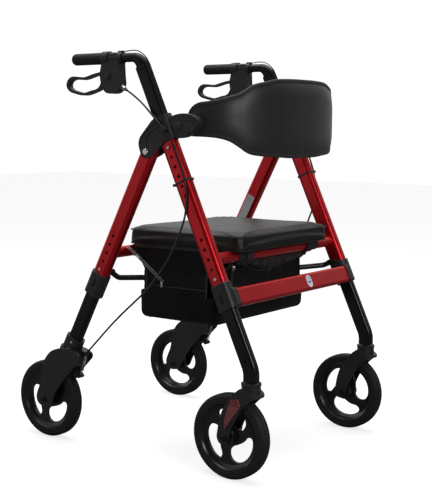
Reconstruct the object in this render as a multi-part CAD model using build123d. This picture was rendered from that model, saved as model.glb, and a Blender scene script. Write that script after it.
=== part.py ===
"""Rollator walker: four-wheeled folding walking aid with a padded seat, bag and backrest.

The walker faces -Y. X runs across it, Z is up, and the origin is on the floor midway between
the axles and the two sides. Side parts are modelled on the plane X = 0 with +X pointing
outwards, and place() moves them to the left (+X) or right (-X) leg plane.
"""

import os
from math import atan2, cos, degrees, radians, sin, tan

from build123d import *

# ------------------------------------------------------------------ driving dimensions (mm, degrees)
HALF_TRACK = 273.0          # centre line to each leg plane
WHEEL_R = 101.6             # eight inch wheels
WHEEL_W = 35.0
AXLE_Y = 294.0              # rear axle is at +AXLE_Y, front axle at -AXLE_Y

FRONT_LEAN = 24.75          # front leg axis, from vertical
STEM_Y = -349.0             # caster swivel axis
BEND_Z = 263.0              # where the front leg axis meets the swivel axis
REAR_LEAN = 27.4            # rear leg axis, from vertical
PIVOT_Y, PIVOT_Z = -50.0, 757.0     # fold pivot of the rear legs

LEG_W, LEG_D, LEG_CORNER = 27.0, 42.0, 10.0     # outer leg tube section
WALL = 2.0
POST_W, POST_D, POST_CORNER = 22.6, 37.6, 7.8   # telescoping inner tubes
COLLAR_W, COLLAR_D, COLLAR_CORNER = 35.0, 50.0, 14.0
COLLAR_LENGTH = 62.0
HOLE_PITCH = 24.5
HOLE_R = 4.0
PIN_CLEARANCE = 0.05
RUNNING = 0.05              # radial clearance of pivots and axles

COLLAR_FRONT_S = 150.0      # distances up the front leg axis from the bend
LEG_FRONT_S = (165.0, 600.0)
EXTENSION_TOP_S = 255.0
LEG_PIN_S = 224.6
POST_S = (520.0, 769.0)
POST_PIN_S = 556.0
BRACKET_S = (572.0, 634.0)
CROSSBAR_S = 171.4
CROSSBAR_OFFSET = -14.0     # crossbar centre, in front of the leg axis
CROSSBAR_HEIGHT, CROSSBAR_DEPTH = 45.0, 21.0

COLLAR_REAR_T = 345.0       # distances down the rear leg axis from the fold pivot
LEG_REAR_T = (-12.0, 392.0)
REAR_EXTENSION_T = (300.0, 598.0)
REAR_PIN_T = 333.0
REAR_CLAMP_T = (542.0, 600.0)

CROSS_TUBE_R = 14.0
FRONT_TUBE = (-235.0, 510.0)        # (y, z) of the cross tube that carries the seat hinge
REAR_TUBE = (80.0, 503.0)

SEAT_HALF_WIDTH = 205.0
SEAT_Y = (-271.0, 87.0)
SEAT_TOP_Z = 565.0
SEAT_BOARD_Z = 526.4
SEAT_BOARD_THICK = 6.0
SEAT_CORNER = 30.0
SEAT_CLIP_X = 138.0

BAG_HALF_WIDTH = 200.0
BAG_Y = (-195.0, 49.0)
BAG_Z = (335.0, 496.0)
BAG_SLIT_Z = 405.0
BAG_WALL = 2.5

BRACE_FRONT = (-252.0, 455.0)       # (y, z) of the braces' pivots on the legs
BRACE_REAR = (104.0, 450.0)
BRACE_MIDDLE = (-74.0, 430.0)
BRACE_R = 7.0
BRACE_FRONT_X = 171.0
BRACE_REAR_X = 187.5
BRACE_BOSS = 7.5            # half the width of the bosses at the middle pivot

BAR_Z = 982.0               # handlebar axis
BAR_R = 11.1
BAR_BEND_R = 34.0
BAR_END_Y = 188.0
GRIP_Y = (98.0, 196.0)
LEVER_PIVOT = (75.0, 939.0)
LEVER_HALF_WIDTH = 8.0

BACK_HALF_WIDTH = 255.0     # backrest band centre line
BACK_Y = -150.0
BACK_BOW = 157.0
BACK_THICK = 16.0

FORK_INSIDE, FORK_OUTSIDE = 20.5, 26.5
AXLE_R = 6.0
CABLE_R = 2.4

FRONT_UP = Vector(0, sin(radians(FRONT_LEAN)), cos(radians(FRONT_LEAN)))
FRONT_BACK = Vector(0, FRONT_UP.Z, -FRONT_UP.Y)
REAR_UP = Vector(0, -sin(radians(REAR_LEAN)), cos(radians(REAR_LEAN)))
FRONT_AXLE = (-AXLE_Y, WHEEL_R)
REAR_AXLE = (AXLE_Y, WHEEL_R)


# ------------------------------------------------------------------ helpers
def front_point(s, back=0.0):
    """A point s up the front leg axis and back behind it, in the leg plane."""
    return Vector(0, STEM_Y, BEND_Z) + FRONT_UP * s + FRONT_BACK * back


def front_plane(s, back=0.0):
    return Plane(origin=front_point(s, back), x_dir=(1, 0, 0), z_dir=FRONT_UP)


def rear_point(t):
    """A point t down the rear leg axis from the fold pivot."""
    return Vector(0, PIVOT_Y, PIVOT_Z) - REAR_UP * t


def rear_plane(t):
    return Plane(origin=rear_point(t), x_dir=(1, 0, 0), z_dir=REAR_UP)


def place(shape, side):
    """Move a part from the plane X = 0 to the left (+1) or right (-1) leg plane."""
    moved = Pos(HALF_TRACK, 0, 0) * shape
    return moved if side > 0 else mirror(moved, about=Plane.YZ)


def slab(face, x0, x1):
    """Extrude a face drawn in (y, z) between two X positions."""
    return Pos(x0, 0, 0) * extrude(Plane.YZ * face, x1 - x0)


def x_rod(y, z, radius, x0, x1):
    """A round bar along X."""
    return Pos((x0 + x1) / 2, y, z) * Rot(0, 90, 0) * Cylinder(radius, x1 - x0)


def outline(*points, radius=0.0):
    """A closed straight-sided face with equally rounded corners."""
    face = make_face(Polyline(*points, close=True))
    return fillet(face.vertices(), radius) if radius else face


def curved(*points):
    """A closed smooth face through the points."""
    return make_face(Spline(*points, periodic=True))


def hull(*circles):
    """The convex face round circles given as (y, z, radius)."""
    edges = [e for y, z, r in circles for e in (Pos(y, z) * Circle(r)).edges()]
    return make_hull(edges)


def tube(plane, width, depth, corner, length, wall=WALL):
    """A rounded rectangular tube along the plane's normal."""
    outer = extrude(plane * RectangleRounded(width, depth, corner), length)
    inner = extrude(plane * RectangleRounded(width - 2 * wall, depth - 2 * wall, corner - wall), length)
    return outer - inner


def cord(points, radius):
    """A round cord along straight runs joined by the largest arcs that they allow."""
    points = [Vector(*p) for p in points]
    radii = []
    for before, corner, after in zip(points, points[1:], points[2:]):
        run_in, run_out = corner - before, after - corner
        turn = radians(run_in.get_angle(run_out))
        radii.append(0.45 * min(run_in.length, run_out.length) / tan(turn / 2))
    print("cord radii", [round(r) for r in radii])
    path = FilletPolyline(*points, radius=radii)
    return sweep(Plane(origin=path @ 0, z_dir=path % 0) * Circle(radius), path=path)


def both_sides(make):
    """The left and right copies of a part as one group of separate solids."""
    return Compound(children=[place(make(), 1), place(make(), -1)])


# ------------------------------------------------------------------ front frame
def front_leg():
    leg = tube(front_plane(LEG_FRONT_S[0]), LEG_W, LEG_D, LEG_CORNER, LEG_FRONT_S[1] - LEG_FRONT_S[0])
    stations = [LEG_PIN_S + i * HOLE_PITCH for i in range(5)]
    stations += [POST_PIN_S - i * HOLE_PITCH for i in range(6)]
    for s in stations:
        p = front_point(s)
        leg -= x_rod(p.Y, p.Z, HOLE_R, 5, LEG_W)
    return leg


def rear_leg():
    leg = tube(rear_plane(LEG_REAR_T[1]), LEG_W, LEG_D, LEG_CORNER, LEG_REAR_T[1] - LEG_REAR_T[0])
    for i in range(5):
        p = rear_point(REAR_PIN_T - i * HOLE_PITCH)
        leg -= x_rod(p.Y, p.Z, HOLE_R, 5, LEG_W)
    return leg - x_rod(PIVOT_Y, PIVOT_Z, 5 + RUNNING, -LEG_W, LEG_W)


def cross_tube(y, z):
    half = HALF_TRACK - LEG_W / 2
    return x_rod(y, z, CROSS_TUBE_R, -half, half) - x_rod(y, z, CROSS_TUBE_R - WALL, -half, half)


def crossbar():
    plane = front_plane(CROSSBAR_S, CROSSBAR_OFFSET)
    section = Plane(origin=plane.origin, x_dir=FRONT_UP, z_dir=(1, 0, 0))
    half = HALF_TRACK - 15.5
    bar = extrude(section * RectangleRounded(CROSSBAR_HEIGHT, CROSSBAR_DEPTH, 7), half, both=True)
    return bar - extrude(section * RectangleRounded(CROSSBAR_HEIGHT - 4, CROSSBAR_DEPTH - 4, 5), half, both=True)


def crossbar_badge():
    centre = front_point(CROSSBAR_S, CROSSBAR_OFFSET - CROSSBAR_DEPTH / 2) + Vector(56, 0, 0)
    plane = Plane(origin=centre, x_dir=(1, 0, 0), z_dir=-FRONT_BACK)
    return extrude(plane * Ellipse(12, 16), 1.4)


def front_collar():
    """The clamp collar at the foot of a front leg, with a brace lug and the crossbar's socket."""
    plane = front_plane(COLLAR_FRONT_S)
    body = extrude(plane * RectangleRounded(COLLAR_W, COLLAR_D, COLLAR_CORNER), COLLAR_LENGTH)
    body = fillet(body.faces().sort_by(Axis.Z)[-1].edges(), 2)
    bar_plane = front_plane(CROSSBAR_S, CROSSBAR_OFFSET)
    section = Plane(origin=bar_plane.origin, x_dir=FRONT_UP, z_dir=(-1, 0, 0))
    socket = extrude(section * RectangleRounded(CROSSBAR_HEIGHT + 4, CROSSBAR_DEPTH + 4, 8), COLLAR_W / 2 + 2)
    body += socket
    body += slab(hull((*BRACE_FRONT, 9), (*front_yz(COLLAR_FRONT_S + 48), 14)), -COLLAR_W / 2 - 2, -8)
    pocket = Pos(-COLLAR_W / 2 - 2, 0, 0) * extrude(
        section * RectangleRounded(CROSSBAR_HEIGHT + 0.2, CROSSBAR_DEPTH + 0.2, 7), -4.2
    )
    body -= pocket
    body -= extrude(front_plane(LEG_FRONT_S[0]) * RectangleRounded(LEG_W, LEG_D, LEG_CORNER), COLLAR_LENGTH)
    body -= extrude(
        front_plane(COLLAR_FRONT_S - 30)
        * RectangleRounded(POST_W + 2 * RUNNING, POST_D + 2 * RUNNING, POST_CORNER),
        COLLAR_LENGTH + 60,
    )
    body -= x_rod(*BRACE_FRONT, 4 + RUNNING, -COLLAR_W, LEG_W / -2)
    return body


def front_yz(s, back=0.0):
    p = front_point(s, back)
    return p.Y, p.Z


def rear_yz(t):
    p = rear_point(t)
    return p.Y, p.Z


def rear_collar():
    plane = rear_plane(COLLAR_REAR_T + COLLAR_LENGTH)
    body = extrude(plane * RectangleRounded(COLLAR_W, COLLAR_D, COLLAR_CORNER), COLLAR_LENGTH)
    body = fillet(body.faces().sort_by(Axis.Z)[-1].edges(), 2)
    body += slab(hull((*BRACE_REAR, 9), (*rear_yz(COLLAR_REAR_T + 14), 12)), -COLLAR_W / 2 - 2, -8)
    body -= extrude(
        rear_plane(LEG_REAR_T[1]) * RectangleRounded(LEG_W, LEG_D, LEG_CORNER), COLLAR_LENGTH
    )
    body -= extrude(
        plane.offset(-30) * RectangleRounded(POST_W + 2 * RUNNING, POST_D + 2 * RUNNING, POST_CORNER),
        COLLAR_LENGTH + 60,
    )
    return body - x_rod(*BRACE_REAR, 4 + RUNNING, -COLLAR_W, LEG_W / -2)


CABLE_STOP = (166.0, 236.0)  # (y, z) where the cable's casing ends at the rear brake
CHEEK_X = (14.0, 18.0)
CLIP = (-107.0, 812.0)      # (y, z) of the cable clip on the bracket
CLIP_X = CHEEK_X[1] + 4.2
CLIP_ANGLE = 42.0           # slope of the cable in the clip, from vertical
SOCKET_X = (-9.5, 11.0)
SOCKET_END_Y = -157.0


def fin_face():
    """The oval plate that carries the backrest, drawn in (y, z)."""
    return Pos(-147, 819) * Rot(0, 0, -9) * Ellipse(54, 28)


def front_of(y):
    """Everything in front of a plane across the walker, as a cutting box."""
    return Pos(0, y - 200, 800) * Box(200, 400, 400)


def pivot_bracket():
    """The moulding on top of a front leg: post guide, fold hinge cheeks and backrest socket."""
    sleeve = extrude(
        front_plane(BRACKET_S[0]) * RectangleRounded(2 * CHEEK_X[1], LEG_D + 10, COLLAR_CORNER),
        BRACKET_S[1] - BRACKET_S[0],
    )
    cheek = hull((PIVOT_Y, PIVOT_Z, 16), (-58, 776, 30), (-85, 808, 28), (*front_yz(595), 20))
    body = sleeve + slab(cheek, *CHEEK_X) + slab(cheek, -CHEEK_X[1], -CHEEK_X[0])
    body += slab(hull((-74, 812, 13), (*front_yz(612), 20)), -CHEEK_X[1], CHEEK_X[1])
    fin = slab(fin_face(), *SOCKET_X) - front_of(SOCKET_END_Y)
    body += fin
    body += Pos(CHEEK_X[1] + 3, *CLIP) * Rot(-CLIP_ANGLE, 0, 0) * Box(10, 13, 16)
    body -= extrude(
        front_plane(BRACKET_S[0] - 10) * RectangleRounded(LEG_W, LEG_D, LEG_CORNER),
        LEG_FRONT_S[1] - BRACKET_S[0] + 10,
    )
    body -= extrude(
        front_plane(BRACKET_S[0])
        * RectangleRounded(POST_W + 2 * RUNNING, POST_D + 2 * RUNNING, POST_CORNER),
        BRACKET_S[1] - BRACKET_S[0] + 10,
    )
    body -= slab(outline((-200, 806), (-119, 806), (-119, 832), (-200, 832)), -2, 4)
    body -= Pos(CLIP_X, *CLIP) * Rot(-CLIP_ANGLE, 0, 0) * Cylinder(CABLE_R + 0.3, 40)
    body -= x_rod(PIVOT_Y, PIVOT_Z, 5, -30, 30)
    return body


def frame_bolts():
    """The fold hinge bolts, with domed heads, and the collars' clamp screws."""
    bolt = x_rod(PIVOT_Y, PIVOT_Z, 5, -20.5, 20)
    bolt += x_rod(PIVOT_Y, PIVOT_Z, 8, 18, 21.5)
    bolt += x_rod(PIVOT_Y, PIVOT_Z, 8, -22.5, -18)
    return fillet(bolt.faces().sort_by(Axis.X)[-1].edges(), 2.5)


def slit(x, y, angle):
    """A slit down one corner of the bag, where a brace passes through."""
    height = BAG_Z[1] - BAG_SLIT_Z + 10
    return Pos(x, y, BAG_SLIT_Z + height / 2) * Rot(0, 0, angle) * Box(60, 40, height)


def bag():
    """The storage bag as an open-topped shell with slit corners and hanging straps."""
    length = BAG_Y[1] - BAG_Y[0]
    middle = (BAG_Y[0] + BAG_Y[1]) / 2
    height = BAG_Z[1] - BAG_Z[0]
    shell = Pos(0, middle, BAG_Z[0] + height / 2) * Box(2 * BAG_HALF_WIDTH, length, height)
    shell = fillet(shell.faces().sort_by(Axis.Z)[0].edges(), 18)
    shell = fillet(shell.edges().filter_by(Axis.Z), 12)
    inside = Pos(0, middle, BAG_Z[0] + BAG_WALL + height / 2) * Box(
        2 * (BAG_HALF_WIDTH - BAG_WALL), length - 2 * BAG_WALL, height
    )
    inside = fillet(inside.faces().sort_by(Axis.Z)[0].edges(), 16)
    inside = fillet(inside.edges().filter_by(Axis.Z), 9.5)
    shell -= inside
    for sx in (-1, 1):
        shell -= slit(sx * BAG_HALF_WIDTH, BAG_Y[0], sx * 45)
        shell -= slit(sx * BAG_HALF_WIDTH, BAG_Y[1], -sx * 45)
    for y, z, edge in ((*FRONT_TUBE, BAG_Y[0]), (*REAR_TUBE, BAG_Y[1])):
        for x in (-168, 168):
            shell += hanger(x, y, z, edge)
    return shell


def hanger(x, y, z, edge):
    """A webbing loop round a cross tube, sewn to the bag's top edge."""
    loop = x_rod(y, z, CROSS_TUBE_R + 1.5, x - 12.5, x + 12.5)
    loop -= x_rod(y, z, CROSS_TUBE_R + 0.3, x - 13, x + 13)
    inward = 1 if y < edge else -1
    wall_y = edge + inward * BAG_WALL / 2
    start = (y + inward * (CROSS_TUBE_R + 0.6), z - 4)
    end = (wall_y, BAG_Z[1] - 12)
    angle = atan2(end[1] - start[1], end[0] - start[0])
    nx, ny = -sin(angle) * 1.2, cos(angle) * 1.2
    strap = outline(
        (start[0] + nx, start[1] + ny),
        (start[0] - nx, start[1] - ny),
        (end[0] - nx, end[1] - ny),
        (end[0] + nx, end[1] + ny),
    )
    return loop + slab(strap, x - 12.5, x + 12.5)


LEG_CABLE_X = LEG_W / 2 + CABLE_R + 0.6


def clip_point(distance):
    """A point on the clip's bore, distance below its middle."""
    angle = radians(CLIP_ANGLE)
    return CLIP[0] - distance * sin(angle), CLIP[1] - distance * cos(angle)


def leg_cable():
    """The brake cable along the outside of a front leg, from the bracket's clip to its tie."""
    route = [
        (CLIP_X, *clip_point(0.3)),
        (CLIP_X, *clip_point(17)),
        (CLIP_X - 1.2, *front_yz(570, -19)),
        (LEG_CABLE_X, *front_yz(541, -20)),
        (LEG_CABLE_X, *front_yz(486, -18.5)),
        (LEG_CABLE_X, *front_yz(455, -14)),
        (LEG_CABLE_X, *front_yz(427, -2)),
    ]
    return cord(route, CABLE_R)


# ------------------------------------------------------------------ rear frame
GUIDE_X = 20.0              # the guide's loop and the cable pass outside the leg when folded
GUIDE_HALF_GAP = 4.2
GUIDE_WIRE_R = 1.1


def cable_guide():
    """A U-shaped wire from the rear cross tube that holds the brake cable clear of the seat."""
    y, z = REAR_TUBE
    foot, elbow, tip = (-55, y - 7, z + CROSS_TUBE_R - 2), (GUIDE_X, -5, 520), (GUIDE_X, -105, 449)
    near = [(x - GUIDE_HALF_GAP, *rest) for x, *rest in (foot, elbow, tip)]
    far = [(x + GUIDE_HALF_GAP, *rest) for x, *rest in (tip, elbow, foot)]
    bend, turn = 26, GUIDE_HALF_GAP - 0.1
    path = FilletPolyline(*near, *far, radius=[bend, turn, turn, bend])
    wire = sweep(Plane(origin=path @ 0, z_dir=path % 0) * Circle(GUIDE_WIRE_R), path=path)
    return wire - x_rod(y, z, CROSS_TUBE_R, -90, 0)


def lower_cable():
    """The brake cable from the front leg's tie, through the guide, to the rear brake."""
    route = [
        (LEG_CABLE_X, *front_yz(426.4, -1.74)),
        (LEG_CABLE_X, *front_yz(399, 10)),
        (LEG_CABLE_X + 2, -158, 573),
        (GUIDE_X, -122, 503),
        (GUIDE_X, -60, 428),
        (GUIDE_X - 3, -12, 390),
        (GUIDE_X - 6.5, 30, 357),
        (8, 80, 315),
        (2, 122, 277),
        (0, *CABLE_STOP),
    ]
    return cord(route, CABLE_R)


# ------------------------------------------------------------------ handles
def handle_post():
    post = tube(front_plane(POST_S[0]), POST_W, POST_D, POST_CORNER, POST_S[1] - POST_S[0])
    p = front_point(POST_PIN_S)
    post -= x_rod(p.Y, p.Z, HOLE_R + 0.2, 5, LEG_W)
    bolt_y, bolt_z = front_yz(POST_S[1] - 7.5)
    return post + x_rod(bolt_y, bolt_z, 3.6, POST_W / 2 - 1, POST_W / 2 + 2.2)


def bar_bend_start():
    """Where the handlebar leaves its straight run: (y, angle of the bend)."""
    corner_y = STEM_Y + (BAR_Z - BEND_Z) * tan(radians(FRONT_LEAN))
    turn = 90 - FRONT_LEAN
    return corner_y + BAR_BEND_R * tan(radians(turn / 2)), turn


def bar_depth(fraction):
    """Half the bar's depth in its plane, from the straight run (0) to the post (1)."""
    return BAR_R + (POST_D / 2 - BAR_R) * fraction ** 1.3


def outside_bend(angle, gap):
    """A point (y, z) outside the bar's bend, angle degrees round it."""
    start_y, turn = bar_bend_start()
    reach = BAR_BEND_R + bar_depth(angle / turn) + gap
    return start_y - reach * sin(radians(angle)), BAR_Z - BAR_BEND_R + reach * cos(radians(angle))


def handlebar():
    """The bar that carries the grip, swelling through its bend to the post's section."""
    start_y, turn = bar_bend_start()
    straight = Pos(0, (BAR_END_Y + start_y) / 2, BAR_Z) * Rot(90, 0, 0) * Cylinder(BAR_R, BAR_END_Y - start_y)
    sections = []
    steps = 6
    for i in range(steps + 1):
        a = radians(turn * i / steps)
        origin = (0, start_y - BAR_BEND_R * sin(a), BAR_Z - BAR_BEND_R * (1 - cos(a)))
        plane = Plane(origin=origin, x_dir=(1, 0, 0), z_dir=(0, -cos(a), -sin(a)))
        sections.append(plane * Ellipse(BAR_R + 0.2 * i / steps, bar_depth(i / steps)))
    bend = loft(sections)
    end_s = (BAR_Z - BEND_Z) / cos(radians(FRONT_LEAN)) - BAR_BEND_R * tan(radians(turn / 2))
    plug = extrude(front_plane(end_s) * Ellipse(9, 16), -28)
    return straight + bend + plug


def hand_grip():
    y0, y1 = GRIP_Y
    r = 14.6
    profile = [(0, y1), (8, y1 - 0.6), (12.6, y1 - 4), (r, y1 - 10), (r, y0 + 8), (13.4, y0 + 4), (13.4, y0), (0, y0)]
    face = make_face(Polyline(*profile, close=True))
    solid = revolve(Plane.XY * face, Axis.Y)
    solid = Pos(0, 0, BAR_Z) * solid
    bore = Pos(0, BAR_END_Y - 100, BAR_Z) * Rot(90, 0, 0) * Cylinder(BAR_R, 200)
    return solid - bore


WIRE_Z = 996.4              # the thin wire leaves the housing above the bar
ADJUSTER = (27.0, 906.5)     # (y, z) of the barrel adjuster's mouth
ADJUSTER_ANGLE = 61.0


def brake_housing():
    body = slab(
        curved(
            (42, 988), (39, 965), (37, 935), (37, 913), (47, 901), (66, 896), (84, 901), (93, 913), (98, 928),
            (100, 943), (97, 960), (92, 976), (84, 989), (62, 992),
        ),
        -13,
        13,
    )
    for y0, y1, r in ((34, 76, 14.0), (76, 97, 17.0)):
        body += Pos(0, (y0 + y1) / 2, BAR_Z) * Rot(90, 0, 0) * Cylinder(r, y1 - y0)
    body += x_rod(*LEVER_PIVOT, 10, 12, 15)
    barrel = Pos(0, *ADJUSTER) * Rot(-ADJUSTER_ANGLE, 0, 0)
    body += barrel * Pos(0, 0, 10) * Cylinder(4.4, 20)
    body -= barrel * Cylinder(CABLE_R + 0.3, 12)
    body -= Pos(0, 60, BAR_Z) * Rot(90, 0, 0) * Cylinder(BAR_R, 120)
    body += Pos(0, 41, WIRE_Z) * Rot(90, 0, 0) * Cylinder(3.2, 16)
    body -= Pos(0, 36, WIRE_Z) * Rot(90, 0, 0) * Cylinder(1.7, 16)
    body -= Pos(0, 60, BAR_Z) * Rot(90, 0, 0) * Cylinder(BAR_R, 120)
    py, pz = LEVER_PIVOT
    gap = outline((58, 950), (72, 957), (112, 963), (112, 888), (88, 884), (60, 920))
    body -= slab(gap, -LEVER_HALF_WIDTH - 0.6, LEVER_HALF_WIDTH + 0.6)
    return body + x_rod(py, pz, 4, -12, 12)


def brake_lever():
    """The loop lever: a flat band bent into a closed loop behind a pivoted root."""
    outer = curved(
        (69, 939), (77, 950), (100, 950), (130, 944.5), (160, 938), (184, 940), (203, 939), (215, 929), (217.5, 917),
        (208, 904.5), (188, 897.5), (161, 893), (130, 898.5), (100, 910), (76, 926),
    )
    inner = curved(
        (104, 941), (130, 938), (160, 931.5), (181, 932.5), (196, 932), (207, 926), (209.5, 917.5), (203, 909.5),
        (186, 904), (161, 899.5), (130, 905.5), (106, 915.5),
    )
    body = slab(outer - inner, -LEVER_HALF_WIDTH, LEVER_HALF_WIDTH)
    return body - x_rod(*LEVER_PIVOT, 4 + RUNNING, -20, 20)


def upper_cables():
    """The brake cable from the lever housing to the bracket, and the wire down the post."""
    angle = radians(ADJUSTER_ANGLE)
    mouth = Vector(0, *ADJUSTER)
    along = Vector(0, -sin(angle), -cos(angle))
    start, leave = mouth - along * 4, mouth + along * 24
    main = cord(
        [
            (start.X, start.Y, start.Z), (leave.X, leave.Y, leave.Z), (10, -36, 871), (21, -70, 847),
            (CLIP_X, *clip_point(-17)), (CLIP_X, *clip_point(-0.3)),
        ],
        CABLE_R,
    )
    front = -POST_D / 2 - 2.2
    over_bend = [(0, *outside_bend(a, gap)) for a, gap in ((12, 6.0), (28, 4.6), (45, 3.2), (58, 2.8))]
    wire = cord(
        [
            (0, 44, WIRE_Z), (0, 29, WIRE_Z), (0, 14, 998.6), *over_bend, (0, *front_yz(750, front - 0.4)), (0, *front_yz(700, front)),
            (0, *front_yz(636, front - 0.2)),
        ],
        1.4,
    )
    return Compound(children=[main, wire])


# ------------------------------------------------------------------ legs' extensions and casters
def front_extension():
    top = front_point(EXTENSION_TOP_S)
    path = FilletPolyline((0, STEM_Y, 238), (0, STEM_Y, BEND_Z), (0, top.Y, top.Z), radius=60)
    base = Plane(origin=(0, STEM_Y, 238), x_dir=(1, 0, 0), z_dir=(0, 0, 1))
    body = sweep(base * RectangleRounded(POST_W, POST_D, POST_CORNER), path=path)
    body -= sweep(base * RectangleRounded(POST_W - 4, POST_D - 4, POST_CORNER - 2), path=path)
    p = front_point(LEG_PIN_S)
    body -= x_rod(p.Y, p.Z, HOLE_R + 0.2, 5, LEG_W)
    p = front_point(24)
    body -= x_rod(p.Y, p.Z, 2.5, 5, LEG_W)
    plug = Pos(0, STEM_Y, 242) * Box(18.6, 33.6, 8)
    stud = Pos(0, STEM_Y, 226) * Cylinder(8, 32)
    return body + fillet(plug.edges().filter_by(Axis.Z), 5.8) + stud


def rear_extension():
    length = REAR_EXTENSION_T[1] - REAR_EXTENSION_T[0]
    body = tube(rear_plane(REAR_EXTENSION_T[1]), POST_W, POST_D, POST_CORNER, length)
    p = rear_point(REAR_PIN_T)
    return body - x_rod(p.Y, p.Z, HOLE_R + 0.2, 5, LEG_W)


def snap_pin(point, along):
    """A locking pin in a hole of the leg's outer face, on a folded leaf spring in the inner tube."""
    pin = x_rod(point.Y, point.Z, HOLE_R - PIN_CLEARANCE, 8.5, LEG_W / 2 + 3.2)
    pin = fillet(pin.faces().sort_by(Axis.X)[-1].edges(), 1.8)
    plane = Plane(origin=point, x_dir=(1, 0, 0), z_dir=Vector(1, 0, 0).cross(along))
    leaf = outline((-9, -6), (9, -6), (9, 32), (6, 34), (-6, 34), (-9, 32))
    leaf -= outline((-8.2, -7), (8.2, -7), (8.2, 31.5), (5.6, 33.2), (-5.6, 33.2), (-8.2, 31.5))
    return pin + extrude(plane * leaf, 5, both=True)


def caster_fork():
    arm = curved(
        (-380, 206), (-362, 197), (-344, 181), (-328, 161), (-316, 140), (-307, 118), (-304, 100), (-297, 88),
        (-287, 85), (-277, 89), (-271, 100), (-272, 114), (-276, 136), (-283, 160), (-295, 183), (-312, 204),
        (-329, 220), (-343, 226), (-358, 217), (-372, 211),
    )
    body = slab(arm, FORK_INSIDE, FORK_OUTSIDE) + slab(arm, -FORK_OUTSIDE, -FORK_INSIDE)
    bridge = arm & (Pos(-340, 250) * Rectangle(120, 110))
    body += slab(bridge, -FORK_OUTSIDE, FORK_OUTSIDE)
    body += Pos(0, STEM_Y, 219) * Cylinder(22.5, 30)
    body += Pos(0, STEM_Y, 233) * Cylinder(23.8, 5)
    body += Pos(0, STEM_Y - 4, 208) * Cylinder(FORK_OUTSIDE + 1, 6)
    rounded_front = Pos(0, STEM_Y - 4) * Circle(FORK_OUTSIDE + 1) + Pos(0, STEM_Y + 146) * Rectangle(60, 300)
    body &= Pos(0, 0, 60) * extrude(rounded_front, 200)
    body -= x_rod(*FRONT_AXLE, WHEEL_R + 3.6, -FORK_INSIDE, FORK_INSIDE)
    body -= Pos(0, STEM_Y, 222) * Cylinder(8 + RUNNING, 60)
    return body - x_rod(*FRONT_AXLE, AXLE_R, -40, 40)


BRAKE_PIVOT = (205.0, 190.0)
SHOE_GAP = 2.6


def rear_fork():
    """The fork below a rear leg: clamp sleeve, bridge over the tyre, two arms, brake ears."""
    arm = curved(
        (169, 219), (190, 198), (212, 175), (234, 150), (252, 127), (263, 105), (271, 91), (289, 83), (309, 86),
        (320, 98), (319, 116), (309, 138), (302, 162), (298, 190), (287, 213), (269, 232), (240, 244), (205, 246),
        (177, 239), (166, 230),
    )
    body = slab(arm, FORK_INSIDE, FORK_OUTSIDE) + slab(arm, -FORK_OUTSIDE, -FORK_INSIDE)
    bridge = arm & (Pos(226.5, 238) * Rectangle(97, 80))
    body += slab(bridge, -FORK_OUTSIDE, FORK_OUTSIDE)
    ear = hull((*BRAKE_PIVOT, 8), (214, 214, 10))
    body += slab(ear, FORK_INSIDE, FORK_OUTSIDE) + slab(ear, -FORK_OUTSIDE, -FORK_INSIDE)
    body += extrude(
        rear_plane(REAR_CLAMP_T[1]) * RectangleRounded(COLLAR_W, COLLAR_D, COLLAR_CORNER),
        REAR_CLAMP_T[1] - REAR_CLAMP_T[0],
    )
    body += extrude(rear_plane(REAR_CLAMP_T[1]) * RectangleRounded(44, 58, 17), 20)
    body += slab(hull((*CABLE_STOP, 6), (196, 238, 7)), -6, 6)
    body -= x_rod(*REAR_AXLE, WHEEL_R + 4, -FORK_INSIDE, FORK_INSIDE)
    body -= extrude(rear_plane(REAR_EXTENSION_T[1]) * RectangleRounded(POST_W, POST_D, POST_CORNER), 90)
    room = hull((*BRAKE_PIVOT, 13), (224, 208, 14), (250, 200, 18), (178, 168, 13))
    body -= slab(room, -13, 13)
    body -= Pos(0, *CABLE_STOP) * Rot(46, 0, 0) * Pos(0, 0, 10) * Cylinder(CABLE_R + 0.3, 26)
    body -= x_rod(*BRAKE_PIVOT, 3.5 + RUNNING, -40, 40)
    return body - x_rod(*REAR_AXLE, AXLE_R, -40, 40)


def brake_arm():
    """The rear brake's bell crank: pivot pin, shoe over the tyre and the cable's post."""
    ring = Pos(*REAR_AXLE) * (Circle(WHEEL_R + SHOE_GAP + 7) - Circle(WHEEL_R + SHOE_GAP))
    shoe = ring & outline((206, 182), (222, 222), (246, 212), (246, 180), (222, 160))
    lever = hull((*BRAKE_PIVOT, 6.5), (230, 189, 5)) + hull((*BRAKE_PIVOT, 6.5), (186, 175, 5))
    lever -= Pos(*REAR_AXLE) * Circle(WHEEL_R + SHOE_GAP)
    body = slab(shoe, -11, 11) + slab(lever, -9, 9)
    body += x_rod(*BRAKE_PIVOT, 3.5, -FORK_OUTSIDE - 1, FORK_OUTSIDE + 1)
    return body + x_rod(186, 175, 3, -12, 14)


def axle(y, z):
    bolt = x_rod(y, z, AXLE_R, -FORK_OUTSIDE - 1, FORK_OUTSIDE + 1)
    for sign in (-1, 1):
        head = x_rod(y, z, 8, FORK_OUTSIDE, FORK_OUTSIDE + 4)
        head = fillet(head.faces().sort_by(Axis.X)[-1].edges(), 1.5)
        bolt += head if sign > 0 else mirror(head, about=Plane.YZ)
    return bolt


def wheel_opening(turn):
    """One of the three swept openings between the spokes, pointed at one end and rounded at the other."""
    polar = [
        (55, 0), (62, 2), (66, 14), (67, 30), (67, 48), (66, 64), (64, 76), (58, 87), (49, 94), (39, 97), (30, 93),
        (25, 78), (28.5, 42), (41, 13),
    ]
    points = []
    for r, a in polar:
        angle = radians(a + turn)
        points.append((r * cos(angle), r * sin(angle)))
    return curved(*points)


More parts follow.
